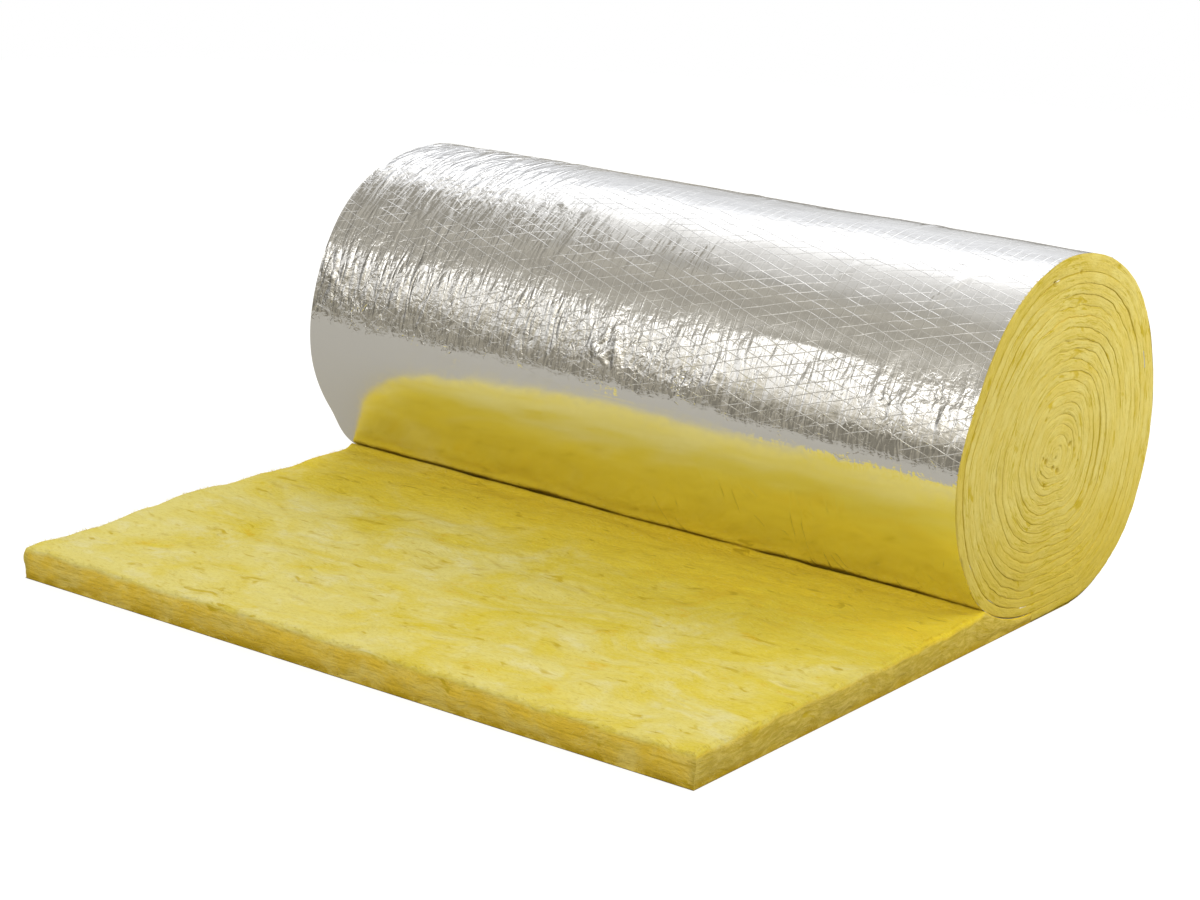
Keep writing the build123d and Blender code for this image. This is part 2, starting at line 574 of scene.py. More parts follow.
@dataclass(frozen=True)
class WoolFinish:
    """Yellow glass wool: pale felted skin with deeper patches, amber layers where cut, painted ochre shade in
    its tears, pits and the gaps between turns.
    """

    name: str
    cream: Colour = (0.89, 0.82, 0.44, 1.0)
    pale: Colour = (0.86, 0.75, 0.23, 1.0)
    golden: Colour = (0.81, 0.645, 0.060, 1.0)
    orange: Colour = (0.80, 0.50, 0.006, 1.0)
    # Painted light: the brighter colour that the wool is given near the crease.
    amber: Colour = (0.96, 0.735, 0.040, 1.0)
    cut: Colour = (0.90, 0.61, 0.050, 1.0)
    cut_pale: Colour = (0.91, 0.70, 0.15, 1.0)
    # On the tongue the side colours are painted shade: darker copies of the cut colours for the side faces,
    # which get less light.
    deep_and_shaded_cut: Colour = (0.58, 0.425, 0.055, 1.0)
    deep_and_shaded_curl: Colour = (0.74, 0.57, 0.12, 1.0)
    shade: Colour = (0.52, 0.34, 0.010, 1.0)
    # Painted shade: the darker colour of the small tears that the fibre pattern draws.
    torn: Colour = (0.62, 0.44, 0.012, 1.0)
    cut_share: float = 0.92
    layer_share: float = 0.55
    seam_share: float = 0.35
    nick_share: float = 0.80
    layer_height: float = -0.4
    relief: float = 0.0045
    bump: float = 0.8
    specular: float = 0.1
    sheen: float = 0.15
    sheen_roughness: float = 0.6

    def skin(self, graph: Graph, place: Socket, fibres: bpy.types.Node) -> Socket:
        """Colours the felted skin, with painted shade and bounced light deepening it near the crease under
        the roll and painted light from the foil brightening it there.

        Args:
            graph: the material's graph.
            place: the point on the object.
            fibres: the node with the fibre pattern.

        Returns:
            The colour.
        """
        x, y, _ = graph.split(place)
        streak, clump, patch, felt = (fibres.outputs[name] for name in ("Streak", "Clump", "Patch", "Felt"))
        aside = graph.maths("MULTIPLY_ADD", y, 0.08, graph.times(x, 0.05))
        # Painted shade and bounced light: the colour deepens towards the crease under the roll.
        crease_bounce = graph.times(graph.ramp(y, -0.22, 0.02), graph.ramp(x, -0.6, 0.3, 0.06, 0.17))
        rich = graph.maths("ADD", patch, graph.maths("ADD", aside, crease_bounce))
        rich = graph.maths("MULTIPLY_ADD", graph.maths("SUBTRACT", streak, 0.5), 0.12, rich)
        colour = graph.mixed(graph.ramp(rich, 0.32, 0.66), self.pale, self.golden)
        wisp = graph.times(graph.ramp(clump, 0.52, 0.34, 0.0, 0.5), graph.ramp(rich, 0.60, 0.40))
        colour = graph.mixed(wisp, colour, self.cream)
        heart = graph.times(graph.ramp(clump, 0.58, 0.74), graph.ramp(rich, 0.36, 0.60, 0.1, 0.8))
        heart = graph.maths("MAXIMUM", heart, graph.ramp(rich, 0.62, 0.82, 0.0, 0.6))
        colour = graph.mixed(heart, colour, self.orange)
        # Painted light: the wool brightens to amber near the crease, for light that the foil throws onto it.
        crease_light = graph.times(graph.ramp(y, -0.16, 0.05), graph.ramp(x, -0.6, 0.2, 0.55, 0.85))
        colour = graph.mixed(crease_light, colour, self.amber)
        return graph.mixed(graph.ramp(felt, 0.54, 0.72, 0.0, 0.22), colour, self.cream)

    def cut_face(self, graph: Graph, side: Socket, fibres: bpy.types.Node) -> Socket:
        """Colours the cut faces.

        Args:
            graph: the material's graph.
            side: 1 on the sides, where the fibres curl and the darker colours paint shade on the tongue, and
                0 on the front.
            fibres: the node with the fibre pattern.

        Returns:
            The colour.
        """
        front = graph.mixed(graph.ramp(fibres.outputs["Clump"], 0.36, 0.60), self.cut_pale, self.cut)
        # Painted shade on the tongue's sides: a darker copy of the cut colour, with lighter curls.
        curled = graph.mixed(graph.ramp(fibres.outputs["Streak"], 0.40, 0.62), self.deep_and_shaded_cut, self.deep_and_shaded_curl)
        return graph.mixed(side, front, curled)

    def material(self) -> bpy.types.Material:
        """Builds the material, which reads the fibre map and the attributes cut, side and tear."""
        material, graph, shader = new_material(self.name)
        place = graph.add("ShaderNodeTexCoord").outputs["Object"]
        fibres = graph.add("ShaderNodeGroup", node_tree=WoolFibres().group())
        graph.feed(fibres.inputs["Place"], place)
        graph.feed(fibres.inputs["Along"], graph.add("ShaderNodeUVMap", uv_map=FIBRE_MAP).outputs[0])
        _, layer, seam, nick, clump, _, felt, height = fibres.outputs
        cut, side, tear = (graph.attribute(name) for name in WOOL_NUMBERS)
        skin, cut_face = self.skin(graph, place, fibres), self.cut_face(graph, side, fibres)
        colour = graph.mixed(graph.times(cut, self.cut_share), skin, cut_face)
        # Painted shade in the small tears that the fibre pattern draws as dashes.
        colour = graph.mixed(graph.times(nick, self.nick_share), colour, self.torn)
        layered = graph.times(graph.ramp(layer, 0.50, 0.72, 0.0, self.layer_share), cut)
        seamed = graph.times(seam, self.seam_share, cut)
        # Painted shade at the foot of the cut faces, where they meet the floor.
        low = graph.times(graph.ramp(graph.split(place)[2], 0.016, 0.002), cut)
        foot_shade = graph.times(low, graph.ramp(clump, 0.40, 0.58, 0.20, 0.95))
        # Painted shade in the tears, the gaps between turns and the pits, and at the foot of the cut faces,
        # together with the darker layer lines and seams.
        dark = tear
        for share in (layered, seamed, foot_shade):
            dark = graph.maths("MAXIMUM", dark, share)
        colour = graph.mixed(dark, colour, self.shade)
        colour = graph.mixed(graph.ramp(felt, 0.28, 0.52, 0.30, 0.0), colour, self.shade)
        raised = graph.maths("MULTIPLY_ADD", graph.times(layer, cut), self.layer_height, height)
        bump = graph.add("ShaderNodeBump", {"Height": raised, "Distance": self.relief, "Strength": self.bump})
        graph.feed(shader.inputs["Base Color"], colour)
        graph.feed(shader.inputs["Normal"], bump.outputs[0])
        shader.inputs["Roughness"].default_value = 1.0
        shader.inputs["Specular IOR Level"].default_value = self.specular
        shader.inputs["Sheen Weight"].default_value = self.sheen
        shader.inputs["Sheen Roughness"].default_value = self.sheen_roughness
        shader.inputs["Sheen Tint"].default_value = self.pale
        return material


@dataclass(frozen=True)
class FoilFinish:
    """Bright aluminium foil over a scrim: crumpled facets, crimps round the roll and threads three ways."""

    name: str = "foil_bright"
    colour: Colour = (0.91, 0.905, 0.895, 1.0)
    thread_spacing: float = 0.0165
    thread_slope: float = 0.33
    thread_width: float = 0.00070
    crackle_scale: float = 70.0
    crimp_scale: float = 75.0
    streak_scale: float = 62.0
    streak_stretch: float = 0.22
    hatch_scale: float = 190.0
    weave_scale: float = 150.0
    cell_scale: float = 85.0
    crack_scale: float = 55.0
    thread_height: float = 0.24
    wrinkle_scale: float = 26.0
    wrinkle_width: float = 0.030
    wrinkle_height: float = 0.60
    relief: float = 0.0012

    def threads(self, graph: Graph, run: Socket) -> Socket:
        """Draws the scrim's threads.

        Args:
            graph: the material's graph.
            run: the coordinates along the sheet, in metres.

        Returns:
            1 on a thread and 0 between threads.
        """
        across, length, _ = graph.split(graph.pushed(run, graph.swirl(run, 11.0, 2.0), (0.009, 0.009, 0.0)))
        steep = 1.0 / math.hypot(1.0, self.thread_slope)
        ways = [across]
        for slope in (self.thread_slope, -self.thread_slope):
            ways.append(graph.times(graph.maths("MULTIPLY_ADD", across, slope, length), steep))
        lines = []
        for way in ways:
            apart = graph.maths("PINGPONG", way, self.thread_spacing / 2)
            lines.append(graph.ramp(apart, self.thread_width, 0.0))
        return graph.maths("MAXIMUM", graph.maths("MAXIMUM", lines[0], lines[1]), lines[2])

    def creased(self, graph: Graph, run: Socket, crackle: Socket, crumple: Socket, calm: Socket) -> Socket:
        """Raises the small creases of foil that is crimped all over.

        Args:
            graph: the material's graph.
            run: the coordinates along the sheet.
            crackle: a noise that the foil's gloss follows too.
            crumple: how badly the foil is crumpled.
            calm: how little it is crimped.

        Returns:
            The height.
        """
        uneven = graph.pushed(
            graph.stretched(run, (1.0, 0.5, 1.0)), graph.swirl(run, 45.0, 3.0), (0.030, 0.030, 0.0)
        )
        round_roll = graph.stretched(run, (1.0, 0.25, 1.0))
        fine = graph.noise(round_roll, self.crimp_scale, 1.5, 0.45, 0.6)
        streaked = graph.stretched(run, (1.0, self.streak_stretch, 1.0))
        streak = graph.off_middle(graph.noise(streaked, self.streak_scale, 1.0, 0.4, 0.5))
        hatch = graph.noise(graph.stretched(run, (1.0, 0.10, 1.0)), self.hatch_scale, 1.0, 0.5)
        weave = graph.noise(graph.stretched(run, (0.12, 1.0, 1.0)), self.weave_scale, 1.0, 0.5)
        facets = graph.maths("MULTIPLY_ADD", crumple, 2.2, 0.8)
        cells = graph.cells(uneven, self.cell_scale)
        crack = graph.ramp(graph.cells(uneven, self.crack_scale, "DISTANCE_TO_EDGE"), 0.07, 0.0)
        crack = graph.times(crack, graph.ramp(graph.noise(run, 32.0, 1.0), 0.48, 0.60))
        height = graph.maths("MULTIPLY_ADD", fine, 0.60, graph.times(crackle, 0.40))
        for pattern, share in (
            (graph.times(cells, facets), 0.90),
            (streak, 4.6),
            (hatch, 0.45),
            (graph.times(weave, calm), 0.45),
            (graph.times(crack, facets), -0.42),
        ):
            height = graph.maths("MULTIPLY_ADD", pattern, share, height)
        return height

    def wrinkles(self, graph: Graph, run: Socket, place: Socket) -> Socket:
        """Draws thin single wrinkles low on the roll, towards its near end.

        Args:
            graph: the material's graph.
            run: the coordinates along the sheet.
            place: the point on the object.

        Returns:
            1 on a wrinkle and 0 beside it.
        """
        x, _, z = graph.split(place)
        bend = graph.noise(graph.stretched(run, (1.0, 0.24, 1.0)), self.wrinkle_scale, 1.0, 0.5, 0.25)
        line = graph.ramp(graph.off_middle(bend), self.wrinkle_width, 0.0)
        sparse = graph.ramp(graph.noise(run, 8.0, 2.0), 0.44, 0.60)
        return graph.times(line, sparse, graph.ramp(z, 0.215, 0.165), graph.ramp(x, -0.10, 0.15))

    def material(self) -> bpy.types.Material:
        """Builds the material, which reads the fibre map and the attributes crimp and crumple."""
        material, graph, shader = new_material(self.name)
        run = graph.add("ShaderNodeUVMap", uv_map=FIBRE_MAP).outputs[0]
        place = graph.add("ShaderNodeTexCoord").outputs["Object"]
        crimp, crumple = graph.attribute("crimp"), graph.attribute("crumple")
        calm = graph.ramp(graph.maths("MAXIMUM", crimp, crumple), 0.42, 0.78, 1.0, 0.40)
        crackle = graph.noise(run, self.crackle_scale, 2.0, 0.5, 1.2)
        height = graph.times(self.creased(graph, run, crackle, crumple, calm), crimp)
        worn = graph.ramp(graph.noise(run, 19.0, 2.0), 0.38, 0.60, 0.28, 1.0)
        _, y, z = graph.split(place)
        above = graph.maths("MAXIMUM", graph.ramp(z, 0.270, 0.360), graph.ramp(y, 0.36, 0.44))
        threads = graph.times(self.threads(graph, run), worn, calm, above)
        height = graph.maths("MULTIPLY_ADD", threads, self.thread_height, height)
        height = graph.maths("MULTIPLY_ADD", self.wrinkles(graph, run, place), self.wrinkle_height, height)
        bump = graph.add("ShaderNodeBump", {"Height": height, "Distance": self.relief, "Strength": 1.0})
        rough = graph.ramp(crackle, 0.3, 0.75, 0.06, 0.14)
        rough = graph.maths("MULTIPLY_ADD", graph.ramp(crimp, 0.0, 0.10, 1.0, 0.0), 0.09, rough)
        rough = graph.maths("MULTIPLY_ADD", threads, 0.10, rough)
        shader.inputs["Base Color"].default_value = self.colour
        shader.inputs["Metallic"].default_value = 1.0
        graph.feed(shader.inputs["Roughness"], rough)
        graph.feed(shader.inputs["Normal"], bump.outputs[0])
        return material


@dataclass(frozen=True)
class FloorFinish:
    """Plain pale floor, lifted to white where it is looked at, with the object's shadow left on it."""

    name: str = "floor_pale"
    colour: Colour = (0.37, 0.36, 0.335, 1.0)
    lift: float = 0.80
    mirrored_lift: float = 0.13
    mirrored_tint: Colour = (1.0, 0.91, 0.70, 1.0)

    def material(self) -> bpy.types.Material:
        """Builds the material."""
        material, graph, shader = new_material(self.name)
        path = graph.add("ShaderNodeLightPath").outputs
        seen = graph.times(path["Is Camera Ray"], self.lift)
        mirrored = graph.maths("MAXIMUM", path["Is Glossy Ray"], path["Is Transmission Ray"])
        strength = graph.maths("MULTIPLY_ADD", mirrored, self.mirrored_lift, seen)
        shader.inputs["Base Color"].default_value = self.colour
        shader.inputs["Roughness"].default_value = 1.0
        shader.inputs["Specular IOR Level"].default_value = 0.0
        tint = graph.mixed(mirrored, (1.0, 1.0, 1.0, 1.0), self.mirrored_tint)
        graph.feed(shader.inputs["Emission Color"], tint)
        graph.feed(shader.inputs["Emission Strength"], strength)
        return material


def dress(piece: bpy.types.Object, material: bpy.types.Material) -> None:
    """Gives a piece its finish and makes it ride on the part."""
    piece.data.materials.append(material)
    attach(piece, BODY)


@dataclass
class WoolTongue:
    """The free end of the blanket: a lumpy top, torn here and there, with soft rims and cut faces."""

    winding: Winding
    name: str = "wool_tongue"
    cell: float = 0.004
    hidden_cell: float = 0.020
    rim_steps: tuple[float, ...] = (0.0, 0.0008, 0.0022, 0.0045)
    rim_radius: float = 0.0058
    rim_waver: float = 0.0030
    rim_reach: float = 0.030
    side_rows: int = 12
    floor_gap: float = 0.0008
    crease_gap: float = 0.0003
    crease_swell: float = 0.0090
    broad_lumps: Ripple = Ripple(0.0040, 3.2, 4.6, 1.7)
    small_lumps: Ripple = Ripple(0.0016, 24.0, 46.0, 8.3)
    tufts: Ripple = Ripple(0.0007, 60.0, 120.0, 4.4)
    billow_height: float = 0.0045
    billow_bend: Ripple = Ripple(0.4, 4.0, 4.0, 2.0)
    left_swell: float = 0.0050
    left_swell_y: float = -0.22
    left_swell_spread: float = 0.17
    left_waves: Ripple = Ripple(0.0030, 15.0, 1.0, 9.4)
    rim_unevenness: Ripple = Ripple(0.6, 23.0, 23.0, 6.6)
    cut_bow: float = 0.0014
    cut_reach: float = 0.006
    tear_count: int = 45
    tear_length: tuple[float, float] = (0.010, 0.034)
    tear_width: tuple[float, float] = (0.0022, 0.0042)
    tear_depth: tuple[float, float] = (0.0004, 0.0013)
    darkest_tear: float = 0.0026
    seed: int = 7

    def top(self, x: float, y: float) -> float:
        """Height of the wool's top at a point, before it is torn."""
        billow = abs(grain(x * 9.0 + self.billow_bend.at(x, y), y * 15.0, 5.1)) - 0.25
        calm = smooth_step(0.0, 0.03, self.winding.half_width + x)
        lumps = self.broad_lumps.at(x, y) + self.billow_height * billow * (0.35 + 0.65 * calm)
        lumps += (self.small_lumps.at(x, y) + self.tufts.at(x, y)) * calm
        swell = self.crease_swell * smooth_step(-0.030, 0.0, y - self.crease_y)
        by_left = smooth_step(0.16, 0.0, self.winding.half_width + x)
        rise = self.left_swell * math.exp(-(((y - self.left_swell_y) / self.left_swell_spread) ** 2))
        swell += by_left * (rise + self.left_waves.at(y, 3.0))
        loose = self.winding.thickness + lumps + swell - self.rim_drop(x, y)
        gap = self.crease_gap * (1.0 + 6.0 * smooth_step(-0.1, 0.5, grain(x * 13.0, 5.0, 2.6)))
        return min(loose, self.winding.underside(y) - gap)

    @property
    def crease_y(self) -> float:
        """Y at which the roll comes down onto the tongue's top."""
        winding = self.winding
        rise = (winding.core_height - winding.thickness) / winding.seat_radius
        across = winding.front_reach - winding.seat_front
        return winding.core_y - winding.seat_front - across * math.sqrt(1.0 - rise**2)

    def rim_drop(self, x: float, y: float) -> float:
        """How far the rounded rim has fallen at a point near an edge."""
        inside = min(self.winding.half_width - abs(x), y - self.winding.front_edge)
        radius = self.rim_radius * (1.0 + self.rim_unevenness.at(x, y))
        if inside >= radius:
            return 0.0
        return radius - math.sqrt(max(0.0, radius**2 - (radius - inside) ** 2))

    def wavered(self, x: float, y: float) -> Vector:
        """Place of a point of the top once the cut edges have been drawn out of line."""
        half, front = self.winding.half_width, self.winding.front_edge
        z = self.top(x, y)
        by_front = smooth_step(self.rim_reach, 0.0, y - front)
        by_side = smooth_step(self.rim_reach, 0.0, half - abs(x))
        waver = 0.6 * grain(x * 19.0, 1.0, 3.0) + 0.5 * grain(x * 47.0, 2.0, 3.0)
        waver *= self.rim_waver * by_front
        aside = 0.6 * grain(y * 19.0, x, 7.0) + 0.5 * grain(y * 47.0, x, 7.0)
        aside *= self.rim_waver * by_side
        return Vector((x + math.copysign(aside, x), y + waver, z))

    def stations(self) -> tuple[list[float], list[float]]:
        """X of the grid's columns and Y of its rows, closer at the rims and wider under the roll."""
        half, front = self.winding.half_width, self.winding.front_edge
        rim = self.rim_radius
        inner = spaced(rim - half, half - rim, round((half - rim) * 2 / self.cell))
        columns = [step - half for step in self.rim_steps] + inner + [half - rim]
        columns += [half - step for step in reversed(self.rim_steps)]
        crease = front + self.winding.tongue_length + 0.15
        end = self.winding.core_y - self.winding.seat_front
        rows = [front + step for step in self.rim_steps]
        rows += spaced(front + rim, crease, round((crease - front - rim) / self.cell))
        rows += spaced(crease, end, round((end - crease) / self.hidden_cell)) + [end]
        return columns, rows

    def tear(self, mesh: bmesh.types.BMesh, layer: bmesh.types.BMLayerItem) -> None:
        """Opens short tears in the top, mostly along X, and marks them for painted shade.

        Args:
            mesh: the top of the tongue.
            layer: the number that says how deep in a tear a corner is, which the finish paints as shade.
        """
        tree = corner_tree(mesh, lambda vert: (vert.co.x, vert.co.y))
        dice = random.Random(self.seed)
        half, front = self.winding.half_width, self.winding.front_edge
        for _ in range(self.tear_count):
            middle = Vector((dice.uniform(-half, half) * 0.97, front + dice.uniform(0.02, 0.72), 0.0))
            length = dice.uniform(*self.tear_length)
            width = dice.uniform(*self.tear_width)
            depth = dice.uniform(*self.tear_depth)
            heading = dice.gauss(0.0, 0.32)
            bend = dice.gauss(0.0, 9.0)
            for _, index, _ in tree.find_range(middle, length * 1.3):
                vert = mesh.verts[index]
                off = Vector((vert.co.x, vert.co.y, 0.0)) - middle
                along = off.x * math.cos(heading) + off.y * math.sin(heading)
                across = off.y * math.cos(heading) - off.x * math.sin(heading) - bend * along * along
                fade = max(0.0, 1.0 - (along / length) ** 2)
                share = fade * math.exp(-((across / width) ** 2))
                lip = fade * math.exp(-(((across - 2.2 * width) / width) ** 2))
                vert.co.z += 0.45 * depth * lip - depth * share
                # Painted shade: the deeper the tear, the more shade colour it gets.
                vert[layer] = max(vert[layer], share * depth / self.darkest_tear)

    def build(self) -> bpy.types.Object:
        """Models the tongue and returns it."""
        columns, rows = self.stations()
        mesh, _ = mapped_grid(
            len(columns) - 1,
            len(rows) - 1,
            lambda column, row: self.wavered(columns[column], rows[row]),
            WOOL_NUMBERS,
        )
        cut, side, tear = (mesh.verts.layers.float[name] for name in WOOL_NUMBERS)
        self.tear(mesh, tear)
        rim = [edge for edge in mesh.edges if edge.is_boundary]
        for edge in rim:
            for vert in edge.verts:
                vert[cut] = 0.5
        for row in range(1, self.side_rows + 1):
            made = bmesh.ops.extrude_edge_only(mesh, edges=rim)["geom"]
            rim = [item for item in made if isinstance(item, bmesh.types.BMEdge) and item.is_boundary]
            share = row / self.side_rows
            for vert in {vert for edge in rim for vert in edge.verts}:
                self.lower(vert, share, row)
                vert[cut] = 1.0
                # The side cut faces take the darker side colour, which is painted shade.
                vert[side] = smooth_step(0.012, 0.002, self.winding.half_width - abs(vert.co.x))
                vert[tear] = 0.0
        bmesh.ops.holes_fill(mesh, edges=rim, sides=0)
        bmesh.ops.recalc_face_normals(mesh, faces=mesh.faces)
        self.map_fibres(mesh)
        return to_object(self.name, mesh, 60.0)

    def lower(self, vert: bmesh.types.BMVert, share: float, row: int) -> None:
        """Moves a corner of the cut faces down by one row and roughens the cut.

        Args:
            vert: the corner, still in the place of the row above.
            share: how far down the cut face the row is, from 0 to 1.
            row: the row's number, from 1 at the rim.
        """
        left = self.side_rows - row + 1
        vert.co.z += (self.floor_gap - vert.co.z) / left
        x, y, z = vert.co
        half, front = self.winding.half_width, self.winding.front_edge
        rough = 0.0012 * grain(x * 40.0 + y * 40.0, z * 170.0, 2.2)
        rough += 0.0016 * grain(x * 21.0 + y * 21.0, z * 60.0, 7.1)
        push = self.cut_bow * math.cos(math.pi * share) + rough
        even = 1.0 / left
        if abs(x) > half - self.cut_reach:
            vert.co.x = math.copysign(abs(x) + (half - abs(x)) * even + push * 0.5, x)
        if y < front + self.cut_reach:
            vert.co.y = y + (front - y) * even - push * 0.5

    def map_fibres(self, mesh: bmesh.types.BMesh) -> None:
        """Lays the fibre map: X and Y on top, and along the run and up on the cut faces."""
        layer = mesh.loops.layers.uv[FIBRE_MAP]
        for face in mesh.faces:
            normal = face.normal
            for loop in face.loops:
                x, y, z = loop.vert.co
                if abs(normal.z) > 0.6:
                    loop[layer].uv = (x, y)
                elif abs(normal.x) > abs(normal.y):
                    loop[layer].uv = (y, z)
                else:
                    loop[layer].uv = (x, z)


@dataclass(frozen=True)
class Crumple:
    """A place on the roll where the foil has been knocked and is crumpled."""

    x: float
    height: float
    across: float
    up: float

    def at(self, x: float, height: float) -> float:
        """How crumpled the foil is at a point, from 0 to 1."""
        return math.exp(-(((x - self.x) / self.across) ** 2) - ((height - self.height) / self.up) ** 2)


@dataclass(frozen=True)
class Crease:
    """A single crease in the foil: its middle on the flat sheet, its heading and its size."""

    across: float
    along: float
    heading: float
    half_length: float
    width: float
    height: float

    def share(self, off: Vector) -> float:
        """How much of the crease's height a point has, by its offset from the middle on the flat sheet."""
        run = off.x * math.cos(self.heading) + off.y * math.sin(self.heading)
        aside = off.y * math.cos(self.heading) - off.x * math.sin(self.heading)
        return max(0.0, 1.0 - (run / self.half_length) ** 2) * math.exp(-((aside / self.width) ** 2))


@dataclass
class FoilFacing:
    """The facing: one sheet under the tongue, up the back, over the roll and down into the crease."""

    winding: Winding
    name: str = "foil_sheet"
    columns: int = 226
    floor_rows: int = 14
    back_rows: int = 64
    front_rows: int = 92
    low_rows: int = 24
    hidden_rows: int = 6
    front_phase: float = 0.52
    low_phase: float = 0.78
    crease_phase: float = 0.94
    thickness: float = 0.0005
    overhang: float = 0.0002
    trim: float = 0.0015
    trim_waves: Ripple = Ripple(0.0006, 25.0, 1.0, 1.3)
    round_length: float = 1.93
    sway: Ripple = Ripple(0.0018, 4.5, 6.0, 0.7)
    dimples: Ripple = Ripple(0.0007, 13.0, 11.0, 4.1)
    fine_waves: Ripple = Ripple(0.00012, 42.0, 20.0, 3.3)
    crimp_edge: Ripple = Ripple(0.012, 11.0, 11.0, 4.0)
    crimp_patches: Ripple = Ripple(0.45, 5.0, 7.0, 12.0)
    crimp_bend: Ripple = Ripple(0.010, 12.0, 12.0, 9.0)
    ridges: Ripple = Ripple(1.0, 50.0, 10.0, 2.5)
    ridge_height: float = 0.0013
    fine_ridges: Ripple = Ripple(0.0004, 85.0, 24.0, 6.5)
    crumples: tuple[Crumple, ...] = (
        Crumple(-0.03, 0.365, 0.055, 0.030),
        Crumple(0.03, 0.340, 0.050, 0.026),
        Crumple(0.12, 0.325, 0.050, 0.018),
        Crumple(0.46, 0.365, 0.045, 0.030),
        Crumple(0.55, 0.375, 0.040, 0.030),
        Crumple(-0.20, 0.518, 0.060, 0.008),
        Crumple(-0.52, 0.325, 0.050, 0.016),
    )
    long_creases: tuple[Crease, ...] = (
        Crease(0.485, 2.032, 2.00, 0.066, 0.0040, 0.0016),
        Crease(0.487, 2.068, 2.09, 0.036, 0.0035, 0.0010),
        Crease(0.310, 2.042, 2.04, 0.028, 0.0035, 0.0011),
        Crease(-0.005, 2.259, 1.30, 0.057, 0.0045, 0.0030),
        Crease(-0.035, 2.260, 0.73, 0.034, 0.0045, 0.0024),
        Crease(-0.030, 2.258, -0.69, 0.036, 0.0045, 0.0022),
        Crease(0.165, 2.266, 1.74, 0.030, 0.0045, 0.0028),
        Crease(-0.180, 2.288, 1.57, 0.022, 0.0045, 0.0020),
        Crease(-0.550, 2.300, 1.57, 0.020, 0.0045, 0.0020),
        Crease(0.315, 2.176, 0.00, 0.130, 0.0050, 0.0007),
        Crease(0.440, 2.215, 1.57, 0.042, 0.0040, 0.0011),
        Crease(0.555, 2.249, 1.42, 0.035, 0.0040, 0.0011),
        Crease(-0.220, 2.016, 0.95, 0.022, 0.0045, 0.0016),
        Crease(-0.165, 2.014, 1.87, 0.020, 0.0045, 0.0016),
    )
    short_creases: int = 90
    short_length: tuple[float, float] = (0.02, 0.07)
    short_width: tuple[float, float] = (0.003, 0.005)
    short_height: tuple[float, float] = (0.0006, 0.0018)
    crimped_length: float = 2.29
    seed: int = 33

    def crumple(self, x: float, height: float) -> float:
        """How badly the foil is crumpled at a point of the roll's front."""
        return max(spot.at(x, height) for spot in self.crumples)

    def phases(self) -> list[float]:
        """Phase of each row: 0 along the floor, then round the roll and into the crease."""
        steps = (self.winding.seat_share, self.front_phase, self.low_phase, self.crease_phase, 1.0)
        counts = (self.back_rows, self.front_rows, self.low_rows, self.hidden_rows)
        phases = [0.0] * self.floor_rows
        for start, end, count in zip(steps, steps[1:], counts):
            phases += spaced(start, end, count)
        return phases + [1.0]

    def path(self) -> list[tuple[float, float]]:
        """Y and Z of the rows, from the front edge along the floor, round the roll and into the crease."""
        front = self.winding.front_edge - self.overhang
        back = self.winding.core_y + self.winding.seat_back
        points = [(y, 0.0) for y in spaced(front, back, self.floor_rows)]
        return points + [self.winding.line(0, phase) for phase in self.phases()[self.floor_rows:]]

    def flat_size(self) -> tuple[float, float]:
        """Width and length of the sheet before it was wound on."""
        path = self.path()
        return 2.0 * self.winding.half_width, sum(math.dist(a, b) for a, b in zip(path, path[1:]))

    def creases(self) -> list[Crease]:
        """The long creases, and short random ones that keep off the smooth zones of the front."""
        dice = random.Random(self.seed)
        found = list(self.long_creases)
        for _ in range(self.short_creases):
            across = dice.uniform(-self.winding.half_width, self.winding.half_width)
            along = dice.uniform(1.25, 2.55)
            heading = dice.gauss(math.pi / 2, 0.35) if dice.random() < 0.7 else dice.uniform(-0.5, 0.5)
            if across > -0.15 and 1.85 < along < 2.19:
                continue
            spans = (self.short_length, self.short_width, self.short_height)
            shape = [dice.uniform(*span) for span in spans]
            if along < self.crimped_length:
                found.append(Crease(across, along, heading, *shape))
        return found

    def crimp(self, x: float, phase: float, height: float) -> float:
        """How strongly the foil is crimped at a point.

        Args:
            x: the place across the sheet.
            phase: how far round the roll the point is.
            height: its height above the floor.

        Returns:
            The strength, which is about 1 where the foil is crimped all over.
        """
        along = phase * self.round_length
        # The crimps end at an uneven line above the tongue's mirror image, and go on down the back.
        edge = height + self.crimp_edge.at(x, along)
        middle = smooth_step(-0.40, -0.20, x) * smooth_step(0.30, 0.10, x)
        edge += 0.016 * smooth_step(0.10, 0.50, x) - 0.011 * middle
        behind = smooth_step(self.front_phase, 0.44, phase) * smooth_step(0.02, 0.08, height)
        low = max(behind, smooth_step(0.266, 0.300, edge))
        # They are weaker to the right, calmer on the upper front and strongest at the far top.
        left = 0.42 + 0.58 * smooth_step(0.35, -0.35, x)
        patchy = 0.75 + self.crimp_patches.at(x, along)
        upper = smooth_step(0.395, 0.430, height)
        calm = 1.0 - 0.45 * upper * smooth_step(0.520, 0.490, height)
        calm *= 1.0 - 0.68 * upper * smooth_step(-0.38, 0.02, x)
        calm *= 1.0 + 1.20 * smooth_step(0.480, 0.515, height) * smooth_step(-0.12, -0.45, x)
        calm *= 1.0 - 0.65 * smooth_step(0.495, 0.515, height) * smooth_step(-0.42, -0.22, x)
        return max(0.0, low * left * patchy * calm)

